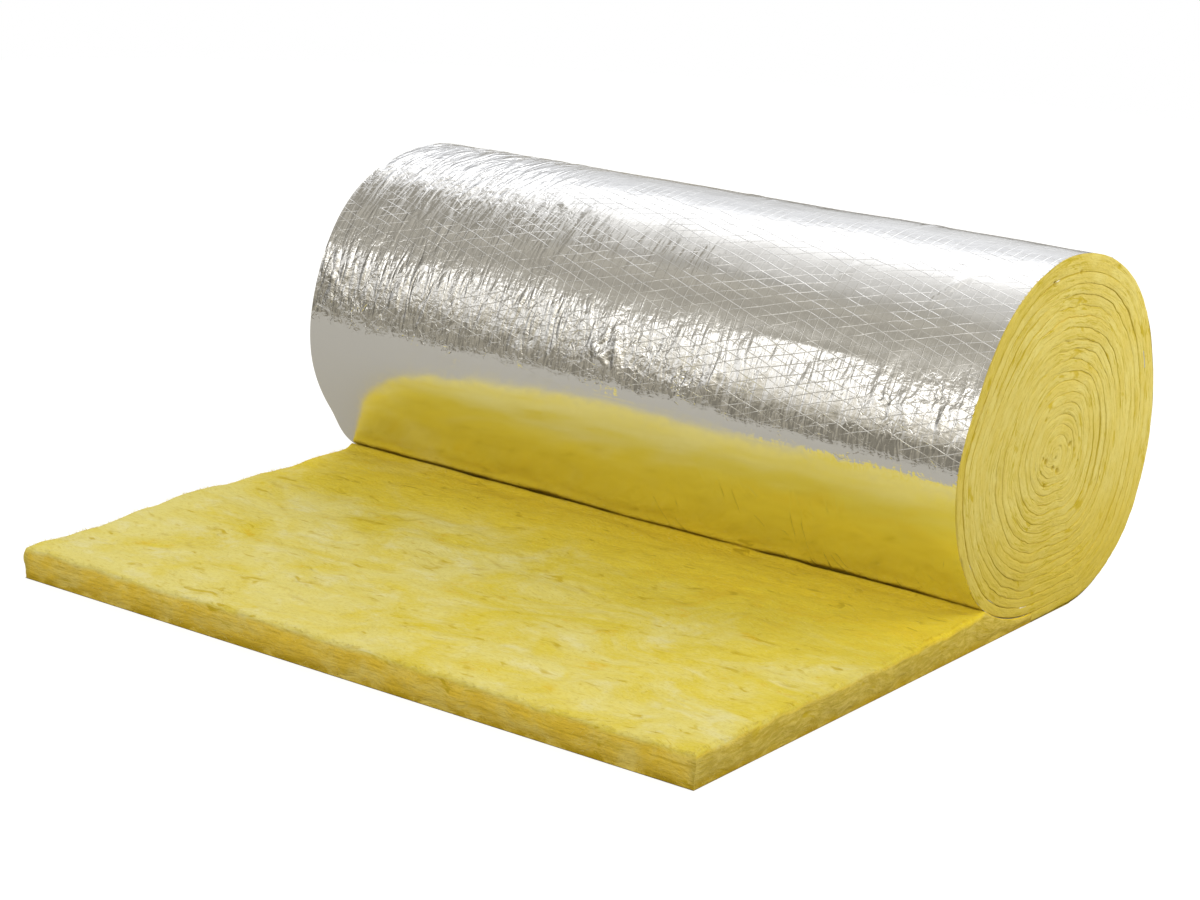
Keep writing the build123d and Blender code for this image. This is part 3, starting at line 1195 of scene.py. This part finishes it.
    def relief(self, x: float, phase: float, height: float) -> float:
        """How far the foil stands out from its even path.

        Args:
            x: the place across the sheet.
            phase: how far round the roll the point is.
            height: its height above the floor.

        Returns:
            The distance.
        """
        along = phase * self.round_length
        broad = self.sway.at(x, along) + self.dimples.at(x, along)
        bent = x + self.crimp_bend.at(x, along)
        ridged = self.ridge_height * (abs(self.ridges.at(bent, along)) - 0.3)
        ridged += self.fine_ridges.at(bent, along)
        smooth = self.fine_waves.at(x, along)
        smooth += 0.00045 * abs(grain(x * 14.0 + along * 15.0, along * 1.8 - x * 1.5, 7.7))
        stand = broad + smooth + self.crimp(x, phase, height) * ridged
        return stand * smooth_step(0.01, 0.05, height)

    def build(self) -> bpy.types.Object:
        """Models the sheet and returns it."""
        half = self.winding.half_width
        path, phases = self.path(), self.phases()
        lengths = run_lengths(path)
        outward = []
        for row in range(len(path)):
            (y0, z0), (y1, z1) = path[max(0, row - 1)], path[min(len(path) - 1, row + 1)]
            run = math.hypot(y1 - y0, z1 - z0)
            outward.append(((z1 - z0) / run, (y0 - y1) / run))

        def place(column: int, row: int) -> Vector:
            """Place of the corner in a column and a row."""
            x = half * (2.0 * column / self.columns - 1.0)
            y, z = path[row]
            if row <= self.floor_rows:
                return Vector((x * (1.0 + self.overhang / half), y, 0.0))
            stand = self.relief(x, phases[row], z)
            if x > 0.0:
                x *= 1.0 - (self.trim + self.trim_waves.at(lengths[row], 0.0)) / half
            y += outward[row][0] * stand
            z += outward[row][1] * stand
            return self.winding.settled(x, y, z)

        numbers = ("crimp", "crumple", "along")
        mesh, corners = mapped_grid(self.columns, len(path) - 1, place, numbers)
        crimp, crumple, along = (mesh.verts.layers.float[name] for name in numbers)
        for vert, (_, row) in corners.items():
            vert[along] = lengths[row]
            at_front = row > self.floor_rows and vert.co.y < self.winding.core_y
            vert[crumple] = self.crumple(vert.co.x, path[row][1]) if at_front else 0.0
            vert[crimp] = self.crimp(vert.co.x, phases[row], path[row][1]) if row > self.floor_rows else 0.2
        self.crease(mesh, corners, lengths, outward)
        layer = mesh.loops.layers.uv[FIBRE_MAP]
        for face in mesh.faces:
            for loop in face.loops:
                loop[layer].uv = (loop.vert.co.x, loop.vert[along])
        bmesh.ops.recalc_face_normals(mesh, faces=mesh.faces)
        middle = max(mesh.faces, key=lambda face: face.calc_center_median().z)
        if middle.normal.z < 0.0:
            bmesh.ops.reverse_faces(mesh, faces=mesh.faces)
        bmesh.ops.solidify(mesh, geom=mesh.faces[:], thickness=self.thickness)
        return to_object(self.name, mesh, 55.0)

    def crease(
        self,
        mesh: bmesh.types.BMesh,
        corners: dict[bmesh.types.BMVert, tuple[int, int]],
        lengths: list[float],
        outward: list[tuple[float, float]],
    ) -> None:
        """Raises the long single creases on the roll.

        Args:
            mesh: the sheet.
            corners: the column and row of each of its corners.
            lengths: how far along the sheet each row is.
            outward: the outward direction of each row, in Y and Z.
        """
        tree = corner_tree(mesh, lambda vert: (vert.co.x, lengths[corners[vert][1]]))
        for crease in self.creases():
            middle = Vector((crease.across, crease.along, 0.0))
            for spot, index, _ in tree.find_range(middle, crease.half_length * 1.2):
                vert = mesh.verts[index]
                row = corners[vert][1]
                raised = crease.height * crease.share(spot - middle)
                vert.co.y += outward[row][0] * raised
                vert.co.z += outward[row][1] * raised


@dataclass(frozen=True)
class Pit:
    """A small hole in the near end of the roll."""

    y: float
    z: float
    radius: float
    depth: float

    def off(self, vert: bmesh.types.BMVert) -> float:
        """Distance of a corner from the pit's middle, seen from the end."""
        return math.hypot(vert.co.y - self.y, vert.co.z - self.z)


@dataclass
class WoolTurns:
    """The wound blanket: one long strip whose cut edges make the spiral ends of the roll."""

    winding: Winding
    facing: FoilFacing
    name: str = "wool_turns"
    across: tuple[float, ...] = (0.0, 0.02, 0.06, 0.2, 0.5, 0.8, 0.94, 0.98, 1.0)
    most_stations: int = 210
    fewest_stations: int = 56
    slit: float = 0.0002
    open_slit: float = 0.0012
    groove: float = 0.0007
    lip: float = 0.0006
    foil_clearance: float = 0.0060
    end_step: float = 0.0004
    end_wander: Ripple = Ripple(0.0032, 6.0, 6.0)
    fuzz: Ripple = Ripple(0.0009, 140.0, 140.0)
    slit_fade: Ripple = Ripple(0.72, 14.0, 14.0, 3.0)
    face_depth: float = 0.008
    pit_margin: float = 0.006
    pit_edge: Ripple = Ripple(0.5, 300.0, 300.0, 1.0)
    felted_core: float = 0.055
    pits: tuple[Pit, ...] = (
        Pit(0.254, 0.5225, 0.0055, 0.009),
        Pit(0.332, 0.5285, 0.0040, 0.006),
        Pit(0.2775, 0.2495, 0.0055, 0.008),
        Pit(0.268, 0.256, 0.0035, 0.005),
        Pit(0.316, 0.2275, 0.0060, 0.009),
        Pit(0.302, 0.235, 0.0045, 0.006),
        Pit(0.350, 0.2625, 0.0050, 0.007),
        Pit(0.379, 0.2305, 0.0040, 0.005),
        Pit(0.2665, 0.3165, 0.0045, 0.006),
        Pit(0.2785, 0.2125, 0.0040, 0.005),
    )
    seed: int = 21

    def stations(self) -> list[tuple[int, float]]:
        """Turn and phase of each station along the strip, fewer on the small turns."""
        found = []
        for turn in range(self.winding.turns + 1):
            reach = self.winding.reach(Side.TOP, turn)
            count = round(self.most_stations * reach / self.winding.top_reach)
            count = max(self.fewest_stations, count)
            found += [(turn, phase) for phase in spaced(0.0, 1.0, count)]
        return found + [(self.winding.turns, 1.0)]

    def build(self) -> bpy.types.Object:
        """Models the strip and returns it."""
        dice = random.Random(self.seed)
        stations = self.stations()
        steps = [dice.uniform(-self.end_step, self.end_step) for _ in range(self.winding.turns + 2)]
        outer = [self.winding.wound(*station) for station in stations]
        inner = [self.winding.wound(turn + 1, phase) for turn, phase in stations]
        lengths = run_lengths(outer)
        loop = [(1.0, share) for share in self.across] + [(-1.0, share) for share in reversed(self.across)]

        def place(column: int, row: int) -> Vector:
            """Place of the corner in a column and a row."""
            end, share = loop[row % len(loop)]
            turn, phase = stations[column]
            return self.corner(end, share, turn, phase, outer[column], inner[column], steps)

        numbers = (*WOOL_NUMBERS, "along", "width")
        mesh, corners = mapped_grid(len(stations) - 1, len(loop), place, numbers)
        cut, side, tear, along, width = (mesh.verts.layers.float[name] for name in numbers)
        for vert, (column, row) in corners.items():
            share = loop[row % len(loop)][1]
            edge = abs(2.0 * share - 1.0)
            vert[cut] = 1.0
            vert[side] = self.golden(*stations[column], vert.co.z)
            # Painted shade along the edges of each turn, standing in for the shadow in the gaps between
            # turns.
            fade = 0.46 + self.slit_fade.at(vert.co.y, vert.co.z, vert.co.x)
            outside = column < self.most_stations and share < 0.1
            wound_tight = self.spiral_shows(outer[column])
            slit = wound_tight * max(0.0, min(0.80, fade)) * smooth_step(0.86, 1.0, edge)
            vert[tear] = 0.0 if outside else slit
            vert[along] = lengths[column]
            vert[width] = share * math.dist(outer[column], inner[column])
        bmesh.ops.remove_doubles(mesh, verts=mesh.verts, dist=1e-6)
        bmesh.ops.holes_fill(mesh, edges=[edge for edge in mesh.edges if edge.is_boundary], sides=0)
        self.pierce(mesh, tear)
        bmesh.ops.recalc_face_normals(mesh, faces=mesh.faces)
        layer = mesh.loops.layers.uv[FIBRE_MAP]
        for face in mesh.faces:
            for loop_corner in face.loops:
                loop_corner[layer].uv = (loop_corner.vert[along], loop_corner.vert[width])
        return to_object(self.name, mesh, 80.0)

    def golden(self, turn: int, phase: float, height: float) -> float:
        """How much deeper the wool's colour is, low on the ends and in the front of the outermost turn.

        Args:
            turn: the number of the turn, from 0 on the outside.
            phase: how far round the turn the wool is.
            height: its height above the floor.

        Returns:
            The share of the deeper colour.
        """
        low = 0.75 * smooth_step(0.24, 0.03, height)
        first = 0.50 * smooth_step(0.48, 0.62, phase) if turn == 0 else 0.0
        return max(low, first)

    def spiral_shows(self, spot: tuple[float, float]) -> float:
        """0 in the felted core, where the turns have grown together, and 1 well outside it."""
        radius = math.hypot(spot[0] - self.winding.core_y, spot[1] - self.winding.core_height)
        return smooth_step(self.felted_core * 0.3, self.felted_core, radius)

    def pierce(self, mesh: bmesh.types.BMesh, layer: bmesh.types.BMLayerItem) -> None:
        """Sinks the pits into the near end.

        Args:
            mesh: the strip.
            layer: the number that says how deep in a hole a corner is, which the finish paints as shade.
        """
        face_x = self.winding.half_width - self.face_depth
        for pit in self.pits:
            around = pit.radius + self.pit_margin
            for _ in range(2):
                near = []
                for edge in mesh.edges:
                    at_face = all(vert.co.x > face_x for vert in edge.verts)
                    if at_face and min(pit.off(vert) for vert in edge.verts) < around:
                        near.append(edge)
                bmesh.ops.subdivide_edges(mesh, edges=near, cuts=1, use_grid_fill=True)
            for vert in mesh.verts:
                share = 1.0 - (pit.off(vert) / pit.radius) ** 2
                if share > 0.0 and vert.co.x > face_x:
                    ragged = 0.75 + self.pit_edge.at(vert.co.y, vert.co.z)
                    vert.co.x -= pit.depth * min(1.0, share * ragged)
                    # Painted shade in the pit.
                    vert[layer] = max(vert[layer], min(0.95, 1.3 * share))

    def corner(
        self,
        end: float,
        share: float,
        turn: int,
        phase: float,
        outer: tuple[float, float],
        inner: tuple[float, float],
        steps: list[float],
    ) -> Vector:
        """Place of one corner of the strip.

        Args:
            end: 1 for the near end of the roll and -1 for the far end.
            share: 0 on the outside of the turn and 1 on its inside.
            turn: the number of the turn, from 0 on the outside.
            phase: how far round the turn the corner is.
            outer: the winding line outside the turn.
            inner: the winding line inside the turn.
            steps: how far each turn stands out at the ends.

        Returns:
            The place.
        """
        depth = max(1e-6, math.dist(outer, inner))
        outer_gap = min(0.25, self.opening(turn, phase) / depth)
        inner_gap = min(0.25, self.opening(turn + 1, phase) / depth)
        bounded = outer_gap + (1.0 - outer_gap - inner_gap) * share
        under_foil = turn == 0 and share < 0.1
        if under_foil:
            raised = smooth_step(0.02, 0.06, outer[1])
            stand = self.facing.relief(end * self.winding.half_width, phase, outer[1]) * raised
            sunk = max(self.rim(end, share)[0], 0.0014 * (1.0 - raised))
            bounded = (sunk - stand) / depth
        y = outer[0] + (inner[0] - outer[0]) * bounded
        z = outer[1] + (inner[1] - outer[1]) * bounded
        stand = steps[turn] * (1.0 - phase) + steps[turn + 1] * phase
        stand += self.end_wander.at(y, z, end * 5.0 + (turn + phase) * 0.35)
        stand += self.fuzz.at(y, z, end * 3.0)
        groove = self.groove * abs(2.0 * share - 1.0) ** 9 * self.spiral_shows(outer)
        if under_foil:
            groove = self.rim(end, share)[1]
        x = end * (self.winding.half_width - groove + stand)
        return self.winding.settled(x, y, z)

    def opening(self, line: int, phase: float) -> float:
        """Half the gap between two turns, which is widest at the front of the outermost one.

        Args:
            line: the turn inside the gap.
            phase: how far round the turn it is.

        Returns:
            The distance from the winding line to the wool.
        """
        if line != 1:
            return self.slit
        share = smooth_step(0.53, 0.61, phase) * smooth_step(0.97, 0.90, phase)
        return self.slit + self.open_slit * share * max(0.2, 0.7 + 0.8 * grain(phase * 24.0, 4.0, 0.5))

    def rim(self, end: float, share: float) -> tuple[float, float]:
        """How the outermost turn meets the foil.

        Args:
            end: 1 for the near end of the roll and -1 for the far end.
            share: 0 on the outside of the turn, then the next two steps inwards.

        Returns:
            How far the wool lies below the foil and how far it stays back from the end.
        """
        if share == 0.0:
            return self.foil_clearance, 0.0090
        if end < 0.0:
            return (0.0011, 0.0030) if share < 0.04 else (0.0014, 0.0012)
        return (-self.lip, 0.0028) if share < 0.04 else (-self.lip * 0.2, 0.0006)


@dataclass
class FoilEdges:
    """The edge of the facing where it is wound in between the turns, seen as a thin line on both ends."""

    winding: Winding
    name: str = "foil_wound_edges"
    stations: int = 150
    fewest_stations: int = 30
    depth: float = 0.020
    first_recess: float = 0.0080
    inner_recess: float = 0.0060
    least_recess: float = 0.0012
    recess_waves: Ripple = Ripple(0.0012, 30.0, 30.0)
    first_shown: float = 0.0068
    thickness: float = 0.0003

    def strip(self, end: float) -> bmesh.types.BMesh:
        """Models the facing's edge at one end of the roll.

        Args:
            end: 1 for the near end and -1 for the far end.

        Returns:
            The strip, from its edge inwards.
        """
        half = self.winding.half_width
        points = []
        for turn in range(1, self.winding.turns + 1):
            count = round(self.stations * self.winding.reach(Side.TOP, turn) / self.winding.top_reach)
            count = max(self.fewest_stations, count)
            points += [(turn, phase) for phase in spaced(0.0, 1.0, count)]

        def place(column: int, row: int) -> Vector:
            """Place of the corner in a column and a row."""
            turn, phase = points[column]
            y, z = self.winding.wound(turn, phase)
            recess = self.first_recess if turn == 1 else self.inner_recess
            recess += self.recess_waves.at(y, z, turn * 2.0)
            if turn == 1:
                recess -= self.first_shown * smooth_step(0.10, 0.35, grain(phase * 30.0, 2.0, 6.0))
            x = end * (half - max(self.least_recess, recess) - self.depth * row)
            return self.winding.settled(x, y, z)

        mesh, corners = mapped_grid(len(points) - 1, 1, place, ("crimp", "crumple"))
        crimp = mesh.verts.layers.float["crimp"]
        layer = mesh.loops.layers.uv[FIBRE_MAP]
        for vert in mesh.verts:
            vert[crimp] = 0.4
        for face in mesh.faces:
            for loop in face.loops:
                loop[layer].uv = (loop.vert.co.x, corners[loop.vert][0] * 0.01)
        return mesh

    def build(self) -> bpy.types.Object:
        """Models both ends' edges as one piece and returns it."""
        both = self.strip(1.0)
        other = bpy.data.meshes.new("far_edges")
        far = self.strip(-1.0)
        far.to_mesh(other)
        far.free()
        both.from_mesh(other)
        bpy.data.meshes.remove(other)
        piece = to_object(self.name, both, 80.0)
        solid = piece.modifiers.new("sheet", "SOLIDIFY")
        solid.thickness = self.thickness
        solid.offset = 0.0
        return piece


class Zone(Enum):
    """Where loose fibres stand on the wool."""

    TOP = "top"
    FRONT_RIM = "front rim"
    SIDE_RIM = "side rim"
    CUT_FACE = "cut face"
    CREASE = "crease"


@dataclass
class LooseFibres:
    """Tufts and single bundles of fibre that stand off the wool, as one joined mesh."""

    winding: Winding
    tongue: WoolTongue
    name: str = "wool_loose_fibres"
    bends: int = 3
    radius: float = 0.00022
    lowest: float = 0.0012
    seed: int = 51
    counts: tuple[tuple[Zone, int], ...] = (
        (Zone.TOP, 1500),
        (Zone.FRONT_RIM, 700),
        (Zone.SIDE_RIM, 900),
        (Zone.CUT_FACE, 900),
        (Zone.CREASE, 420),
    )

    def on_top(self, x: float, y: float, sunk: float = 0.0006) -> Vector:
        """Place of a foot that is sunk a little into the tongue's top."""
        return Vector((x, y, self.tongue.top(x, y) - sunk))

    def root(self, zone: Zone, dice: random.Random) -> tuple[Vector, Vector, float]:
        """Picks where a fibre stands.

        Args:
            zone: the part of the wool.
            dice: the random numbers to draw from.

        Returns:
            Its foot, the direction in which it leaves the wool and its length.
        """
        half, front = self.winding.half_width, self.winding.front_edge
        crease = front + self.winding.tongue_length + 0.10
        if zone is Zone.TOP:
            x, y = dice.uniform(-half, half) * 0.99, dice.uniform(front + 0.005, crease)
            lean = Vector((dice.gauss(0.0, 1.0), dice.gauss(0.0, 0.5), dice.uniform(0.05, 0.45)))
            return self.on_top(x, y), lean, dice.uniform(0.006, 0.018)
        if zone is Zone.FRONT_RIM:
            x, y = dice.uniform(-half, half) * 0.995, front + dice.uniform(0.001, 0.008)
            lean = Vector((dice.gauss(0.0, 0.7), dice.uniform(-0.9, 0.1), dice.uniform(0.0, 0.7)))
            return self.on_top(x, y), lean, dice.uniform(0.004, 0.011)
        if zone is Zone.SIDE_RIM:
            side = dice.choice((-1.0, 1.0))
            x, y = side * (half - dice.uniform(0.001, 0.008)), dice.uniform(front, crease)
            lean = Vector((side * dice.uniform(0.0, 0.9), dice.gauss(0.0, 0.7), dice.uniform(0.0, 0.7)))
            return self.on_top(x, y), lean, dice.uniform(0.004, 0.011)
        if zone is Zone.CUT_FACE:
            z = dice.uniform(0.004, 0.040)
            if dice.random() < 0.55:
                foot = Vector((dice.uniform(-half, half) * 0.995, front - 0.0005, z))
                lean = Vector((dice.gauss(0.0, 1.0), -0.35, dice.gauss(0.0, 0.25)))
            else:
                side = dice.choice((-1.0, 1.0))
                foot = Vector((side * (half + 0.0005), dice.uniform(front, crease - 0.05), z))
                lean = Vector((side * 0.35, dice.gauss(0.0, 1.0), dice.gauss(0.0, 0.25)))
            return foot, lean, dice.uniform(0.004, 0.010)
        x, y = dice.uniform(-half, half) * 0.99, crease + dice.uniform(0.010, 0.036)
        lean = Vector((dice.gauss(0.0, 0.6), -1.0, dice.uniform(0.1, 0.8)))
        return self.on_top(x, y, 0.0004), lean, dice.uniform(0.004, 0.012)

    def build(self) -> bpy.types.Object:
        """Models the fibres and returns them as one piece."""
        dice = random.Random(self.seed)
        verts: list[Vector] = []
        faces: list[tuple[int, ...]] = []
        for zone, count in self.counts:
            for _ in range(count):
                self.fibre(verts, faces, *self.root(zone, dice), dice)
        data = bpy.data.meshes.new(self.name)
        data.from_pydata(verts, [], faces)
        data.validate()
        data.shade_smooth()
        for name in WOOL_NUMBERS:
            data.attributes.new(name, "FLOAT", "POINT")
        layer = data.uv_layers.new(name=FIBRE_MAP)
        for loop in data.loops:
            spot = data.vertices[loop.vertex_index].co
            layer.data[loop.index].uv = (spot.x, spot.y)
        piece = bpy.data.objects.new(self.name, data)
        bpy.context.scene.collection.objects.link(piece)
        return piece

    def fibre(
        self,
        verts: list[Vector],
        faces: list[tuple[int, ...]],
        foot: Vector,
        lean: Vector,
        length: float,
        dice: random.Random,
    ) -> None:
        """Adds one fibre, three-sided and tapering to a point.

        Args:
            verts: the corners so far, which it adds to.
            faces: the faces so far, which it adds to.
            foot: where it stands.
            lean: the direction in which it leaves the wool.
            length: its length.
            dice: the random numbers to draw from.
        """
        heading = lean.normalized()
        curl = Vector((dice.gauss(0.0, 0.5), dice.gauss(0.0, 0.5), dice.gauss(-0.25, 0.3)))
        spot = foot.copy()
        first = len(verts)
        thick = self.radius * dice.uniform(0.6, 1.5)
        for bend in range(self.bends):
            side = heading.orthogonal().normalized()
            other = heading.cross(side)
            reach = thick * (1.0 - bend / self.bends)
            for corner in range(3):
                turn = 2.0 * math.pi * corner / 3
                verts.append(spot + (side * math.cos(turn) + other * math.sin(turn)) * reach)
            spot = spot + heading * (length / self.bends)
            spot.z = max(spot.z, self.lowest)
            heading = (heading + curl * 0.45).normalized()
        verts.append(spot)
        faces.append((first + 2, first + 1, first))
        for bend in range(self.bends - 1):
            low = first + 3 * bend
            for corner in range(3):
                after = (corner + 1) % 3
                faces.append((low + corner, low + after, low + 3 + after, low + 3 + corner))
        last = first + 3 * (self.bends - 1)
        for corner in range(3):
            faces.append((last + corner, last + (corner + 1) % 3, first + 3 * self.bends))


@dataclass(frozen=True)
class Softbox:
    """A large soft lamp."""

    name: str
    place: tuple[float, float, float]
    aim: tuple[float, float, float]
    size: tuple[float, float]
    brightness: float

    def build(self) -> None:
        """Hangs the lamp."""
        data = bpy.data.lights.new(self.name, "AREA")
        data.shape = "RECTANGLE"
        data.size, data.size_y = self.size
        data.energy = self.brightness * self.size[0] * self.size[1] * math.pi
        lamp = bpy.data.objects.new(self.name, data)
        lamp.location = self.place
        lamp.rotation_euler = (Vector(self.aim) - Vector(self.place)).to_track_quat("-Z", "Y").to_euler()
        lamp.visible_glossy = False
        bpy.context.scene.collection.objects.link(lamp)


@dataclass(frozen=True)
class MirroredRoom:
    """What the foil mirrors above the floor: soft bands of light from the front horizon over to the back one.

    Each stop is an angle in degrees, from the front horizon up and over, a brightness and a warmth.
    """

    stops: tuple[tuple[float, float, float], ...] = (
        (0.0, 0.39, 1.4),
        (12.0, 0.40, 1.4),
        (20.0, 0.47, 1.0),
        (26.0, 0.66, 0.6),
        (31.0, 0.95, 0.3),
        (35.5, 1.04, 0.25),
        (38.5, 0.80, 0.4),
        (42.0, 0.48, 0.8),
        (47.0, 0.445, 1.0),
        (56.0, 0.40, 1.0),
        (66.0, 0.39, 1.0),
        (76.0, 0.43, 0.8),
        (88.0, 0.54, 0.4),
        (96.0, 0.68, 0.3),
        (104.0, 0.79, 0.2),
        (112.0, 1.03, 0.1),
        (119.0, 1.30, -0.1),
        (127.0, 1.55, -0.1),
        (136.0, 1.58, -0.1),
        (143.0, 1.20, -0.2),
        (150.0, 0.92, -0.2),
        (157.0, 0.81, -0.2),
        (165.0, 0.74, -0.1),
        (180.0, 0.66, 0.0),
    )
    lean: float = 36.0
    low_lean: float = 6.0
    beam_scale: float = 7.0
    beams: float = 0.14
    dark_side: float = 0.40
    light_side: float = 1.55

    def colour(self, graph: Graph, way: Socket) -> Socket:
        """Paints the room.

        Args:
            graph: the world's graph.
            way: the direction looked in.

        Returns:
            The colour of the room in that direction.
        """
        parts = graph.add("ShaderNodeSeparateXYZ", {"Vector": way}).outputs
        angle = graph.maths("ARCTAN2", parts["Z"], graph.times(parts["Y"], -1.0))
        angle = graph.times(angle, 180.0 / math.pi)
        leaning = graph.ramp(parts["X"], -0.61, -0.55, -self.lean, 0.0)
        upper = graph.times(graph.ramp(angle, 66.0, 92.0), graph.ramp(angle, 100.0, 122.0, 1.0, 0.42))
        upper = graph.times(upper, graph.ramp(angle, 128.0, 154.0, 1.0, 0.0))
        lower = graph.times(graph.ramp(angle, 48.0, 30.0), graph.ramp(parts["X"], -0.61, -0.47, 1.0, -1.2))
        risen = graph.maths("MULTIPLY_ADD", lower, self.low_lean, angle)
        deep = graph.ramp(angle, 24.0, 12.0)
        glare = graph.times(graph.ramp(angle, 22.0, 30.0), graph.ramp(angle, 47.0, 40.0))
        angle = graph.maths("MULTIPLY_ADD", upper, leaning, risen)
        bands = graph.add("ShaderNodeValToRGB", {"Fac": graph.maths("DIVIDE", angle, 180.0)})
        ramp = bands.color_ramp
        ramp.interpolation = "CARDINAL"
        while len(ramp.elements) < len(self.stops):
            ramp.elements.new(1.0)
        for element, (degrees, bright, warm) in zip(ramp.elements, self.stops):
            element.position = degrees / 180.0
            half = bright / 2.0
            element.color = (half * (1.0 + 0.06 * warm), half, half * (1.0 - 0.14 * warm), 1.0)
        beams = graph.noise(way, self.beam_scale, 3.0, 0.6)
        beams = graph.ramp(beams, 0.32, 0.68, 2.0 - 2.0 * self.beams, 2.0 + 2.0 * self.beams)
        darkest = graph.ramp(angle, 60.0, 100.0, self.dark_side, 0.85)
        beams = graph.times(beams, graph.ramp(parts["X"], -0.92, -0.60, darkest, 1.0))
        beams = graph.times(beams, graph.ramp(parts["X"], -0.50, -0.12, 1.0, self.light_side))
        beams = graph.times(beams, graph.ramp(parts["X"], -0.615, -0.560, 0.85, 1.0))
        shaded = graph.times(deep, graph.ramp(parts["X"], -0.59, -0.49, 0.0, 0.52))
        beams = graph.times(beams, graph.maths("SUBTRACT", 1.0, shaded))
        glare = graph.times(glare, graph.ramp(parts["X"], -0.56, -0.49, 0.0, 0.42))
        beams = graph.times(beams, graph.maths("ADD", 1.0, glare))
        scaled = graph.add("ShaderNodeVectorMath", operation="SCALE")
        graph.feed(scaled.inputs[0], bands.outputs["Color"])
        graph.feed(scaled.inputs["Scale"], beams)
        return scaled.outputs[0]


@dataclass
class Studio:
    """The plain pale floor, the soft light and the camera at the photograph's angle."""

    floor_radius: float = 4.6
    camera_place: tuple[float, float, float] = (2.666, -3.816, 1.554)
    camera_yaw: float = 35.03
    camera_pitch: float = 16.25
    camera_roll: float = 3.10
    camera_lens: float = 96.1
    fill: float = 0.66
    room: MirroredRoom = MirroredRoom()
    softboxes: tuple[Softbox, ...] = (
        Softbox("softbox_above", (-1.5, 1.95, 2.6), (-0.2, 0.35, 0.4), (2.1, 1.7), 2.10),
        Softbox("softbox_front", (-1.5, -2.4, 1.25), (0.0, 0.0, 0.3), (1.7, 0.80), 1.98),
        Softbox("softbox_right", (3.0, -1.9, 1.8), (0.3, 0.0, 0.2), (2.6, 2.2), 1.50),
        Softbox("softbox_end", (1.7, 1.25, 1.00), (0.6, 0.40, 0.3), (0.8, 0.8), 5.0),
    )

    def build(self) -> None:
        """Sets up the floor, the lamps, the surroundings and the camera."""
        mesh = bmesh.new()
        bmesh.ops.create_circle(mesh, cap_ends=True, segments=96, radius=self.floor_radius)
        data = bpy.data.meshes.new("floor")
        mesh.to_mesh(data)
        mesh.free()
        floor = bpy.data.objects.new("floor", data)
        floor.data.materials.append(FloorFinish().material())
        floor.location.z = -0.0005
        bpy.context.scene.collection.objects.link(floor)
        for softbox in self.softboxes:
            softbox.build()
        self.surroundings()
        self.camera()
        bpy.context.scene.view_settings.view_transform = "Standard"

    def surroundings(self) -> None:
        """White where it is looked at, a graded room in mirrors and an even fill elsewhere."""
        world = bpy.data.worlds.new("studio")
        bpy.context.scene.world = world
        world.use_nodes = True
        graph = Graph(world.node_tree)
        background = world.node_tree.nodes["Background"]
        way = graph.add("ShaderNodeTexCoord").outputs["Generated"]
        path = graph.add("ShaderNodeLightPath").outputs
        mirrored = graph.maths("MAXIMUM", path["Is Glossy Ray"], path["Is Transmission Ray"])
        even = (self.fill, self.fill, self.fill, 1.0)
        plain = graph.mixed(path["Is Camera Ray"], even, (1.0, 1.0, 1.0, 1.0))
        graph.feed(background.inputs["Color"], graph.mixed(mirrored, plain, self.room.colour(graph, way)))
        background.inputs["Strength"].default_value = 1.0

    def camera(self) -> None:
        """Places the camera."""
        data = bpy.data.cameras.new("camera")
        data.sensor_width = 36.0
        data.lens = self.camera_lens
        data.clip_end = 100.0
        camera = bpy.data.objects.new("camera", data)
        turn = Matrix.Rotation(math.radians(self.camera_yaw), 4, "Z")
        tilt = Matrix.Rotation(math.radians(90.0 - self.camera_pitch), 4, "X")
        roll = Matrix.Rotation(math.radians(self.camera_roll), 4, "Z")
        camera.matrix_world = Matrix.Translation(self.camera_place) @ turn @ tilt @ roll
        bpy.context.scene.collection.objects.link(camera)
        bpy.context.scene.camera = camera


def total_triangles(pieces: Iterable[bpy.types.Object]) -> int:
    """Triangles of the finished pieces, modifiers included."""
    graph = bpy.context.evaluated_depsgraph_get()
    count = 0
    for piece in pieces:
        data = piece.evaluated_get(graph).data
        made = sum(len(face.vertices) - 2 for face in data.polygons)
        LOG.info("%s: %d triangles", piece.name, made)
        count += made
    return count


def main() -> None:
    """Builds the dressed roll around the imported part."""
    logging.basicConfig(level=logging.INFO, format="%(name)s %(message)s")
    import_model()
    low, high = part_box(FOIL_NODE)
    winding = Winding(half_width=high.x, front_edge=low.y)

    tongue = WoolTongue(winding)
    tongue_piece = tongue.build()
    facing = FoilFacing(winding)
    foil_piece = facing.build()
    turns_piece = WoolTurns(winding, facing).build()
    edges_piece = FoilEdges(winding).build()
    fibres_piece = LooseFibres(winding, tongue).build()

    wool = WoolFinish("wool_skin").material()
    wound = WoolFinish(
        "wool_wound",
        cut=(0.79, 0.635, 0.15, 1.0),
        cut_pale=(0.83, 0.70, 0.21, 1.0),
        deep_and_shaded_cut=(0.71, 0.53, 0.055, 1.0),
        shade=(0.60, 0.45, 0.03, 1.0),
        cut_share=1.0,
        deep_and_shaded_curl=(0.71, 0.53, 0.055, 1.0),
        layer_share=0.60,
        seam_share=1.0,
    ).material()
    foil = FoilFinish().material()
    dress(tongue_piece, wool)
    dress(turns_piece, wound)
    dress(fibres_piece, wool)
    dress(foil_piece, foil)
    dress(edges_piece, foil)
    for piece in (tongue_piece, turns_piece):
        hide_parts(WOOL_NODE)
    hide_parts(FOIL_NODE)
    facing.flat_size()

    Studio().build()
    pieces = (tongue_piece, turns_piece, fibres_piece, foil_piece, edges_piece)
    LOG.info("%d triangles in all", total_triangles(pieces))


if __name__ == "__main__":
    main()
